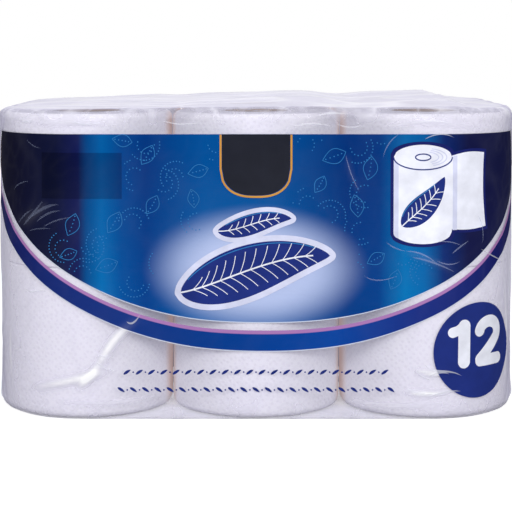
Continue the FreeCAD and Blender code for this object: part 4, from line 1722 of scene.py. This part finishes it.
@dataclass
class Studio:
    """Pale floor, soft lamps, white background and the camera.

    The floor glows for the camera alone. The sky lights the pack at its own strength, and looks white.
    """

    distance: float = 1.05
    eye_height: float = 0.245
    pitch: float = math.radians(7.4)
    lens: float = 102.8
    shift: float = -0.0455
    floor_glow: float = 0.84
    sky_strength: float = 0.36

    def build_floor(self) -> None:
        """Lay a plain pale floor."""
        points = np.array([[-4, -4, 0], [4, -4, 0], [4, 4, 0], [-4, 4, 0]], float)
        material, tree, surface = new_material("studio_floor_white_paper")
        sight = add_node(tree, "LightPath").outputs["Is Camera Ray"]
        glow = add_node(tree, "Math", {0: sight, 1: self.floor_glow}, operation="MULTIPLY")
        set_inputs(tree, surface, {"Base Color": "#a4a4a8", "Roughness": 0.9,
                                   "Emission Color": "#ffffff", "Emission Strength": glow})
        floor = make_piece("floor", points, np.array([[0, 1, 2, 3]]), [material])

    def add_lamp(self, name: str, place: tuple[float, float, float], size: float, power: float) -> None:
        """Hang a square soft lamp that faces the pack.

        Args:
            name: the lamp's name.
            place: where it hangs.
            size: length of its sides.
            power: watts.
        """
        lamp = bpy.data.lights.new(name, "AREA")
        lamp.shape = "SQUARE"
        lamp.size = size
        lamp.energy = power
        holder = bpy.data.objects.new(name, lamp)
        holder.location = place
        towards = np.array([0, 0, 0.1]) - np.array(place)
        pan = math.atan2(towards[1], towards[0]) - math.pi / 2
        tilt = math.atan2(towards[2], math.hypot(towards[0], towards[1])) + math.pi / 2
        holder.rotation_euler = (tilt, 0, pan)
        bpy.context.scene.collection.objects.link(holder)

    def build(self) -> None:
        """Set up floor, lamps, world and camera."""
        self.build_floor()
        for name, place, size, power in (("key_softbox", (-0.8, -1.6, 0.95), 0.7, 8.5),
                                         ("fill_softbox", (0.8, -1.7, 0.75), 0.8, 9.5),
                                         ("front_softbox", (0.0, -2.4, 0.95), 0.9, 17),
                                         ("top_softbox", (0.0, 0.1, 1.7), 1.0, 9)):
            self.add_lamp(name, place, size, power)
        world = bpy.data.worlds.new("studio_white")
        world.use_nodes = True
        tree = world.node_tree
        sight = add_node(tree, "LightPath").outputs
        seen = add_node(tree, "Math", {0: sight["Is Camera Ray"], 1: sight["Is Transmission Ray"]},
                        operation="MAXIMUM")
        strength = add_node(tree, "MapRange", {"Value": seen, "To Min": self.sky_strength})
        set_inputs(tree, tree.nodes["Background"], {"Color": "#ffffff", "Strength": strength})
        bpy.context.scene.world = world
        camera = bpy.data.cameras.new("camera")
        camera.lens = self.lens
        camera.shift_y = self.shift
        holder = bpy.data.objects.new("camera", camera)
        holder.location = (0.0, -self.distance, self.eye_height)
        holder.rotation_euler = (math.pi / 2 - self.pitch, 0, 0)
        bpy.context.scene.collection.objects.link(holder)
        bpy.context.scene.camera = holder
        bpy.context.scene.view_settings.view_transform = "Standard"


# ---------------------------------------------------------------- whole pack

def build_rolls(shape: PackShape) -> None:
    """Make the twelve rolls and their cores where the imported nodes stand.

    Each roll's tail is turned on from the last one's. Its edge is rounder where it faces the film.

    Args:
        shape: the pack's shape.
    """
    skins = [EmbossedTissue().make(), CutTissueEdge().make()]
    board = CoreBoard().make()
    places = [(layer, row, column) for layer in (1, 2) for row in (1, 2) for column in (1, 2, 3)]
    for order, (layer, row, column) in enumerate(places):
        place = f"{layer}_{row}_{column}"
        low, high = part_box("cardboard_core_" + place)
        middle = ((low[0] + high[0]) / 2, (low[1] + high[1]) / 2)
        pressed = (column < 3, row < 2, column > 1, row > 1)
        edges = (0.0045, 0.0018) if layer == 1 else (0.0018, 0.0045)
        for part in (TissueRoll("tissue_roll_" + place, shape, middle, low[2], pressed,
                                math.radians(77.0 * order), skins, low_edge=edges[0],
                                high_edge=edges[1]),
                     BoardCore("cardboard_core_" + place, shape, middle, low[2], board)):
            LOG.info("built %s", part.build().name)


def main() -> None:
    """Build the pack and its stage, and report each piece."""
    logging.basicConfig(level=logging.INFO, format="%(message)s")
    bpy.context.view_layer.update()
    shape = PackShape()
    Studio().build()
    build_rolls(shape)
    stripes = Stripes()
    wrap = FilmWrap(shape, stripes, PrintedFilm().make())
    wrap.build()
    for piece in wrap.pieces + PrintedMotifs(shape, stripes).build():
        LOG.info("built %s", piece.name)


if __name__ == "__main__":
    main()
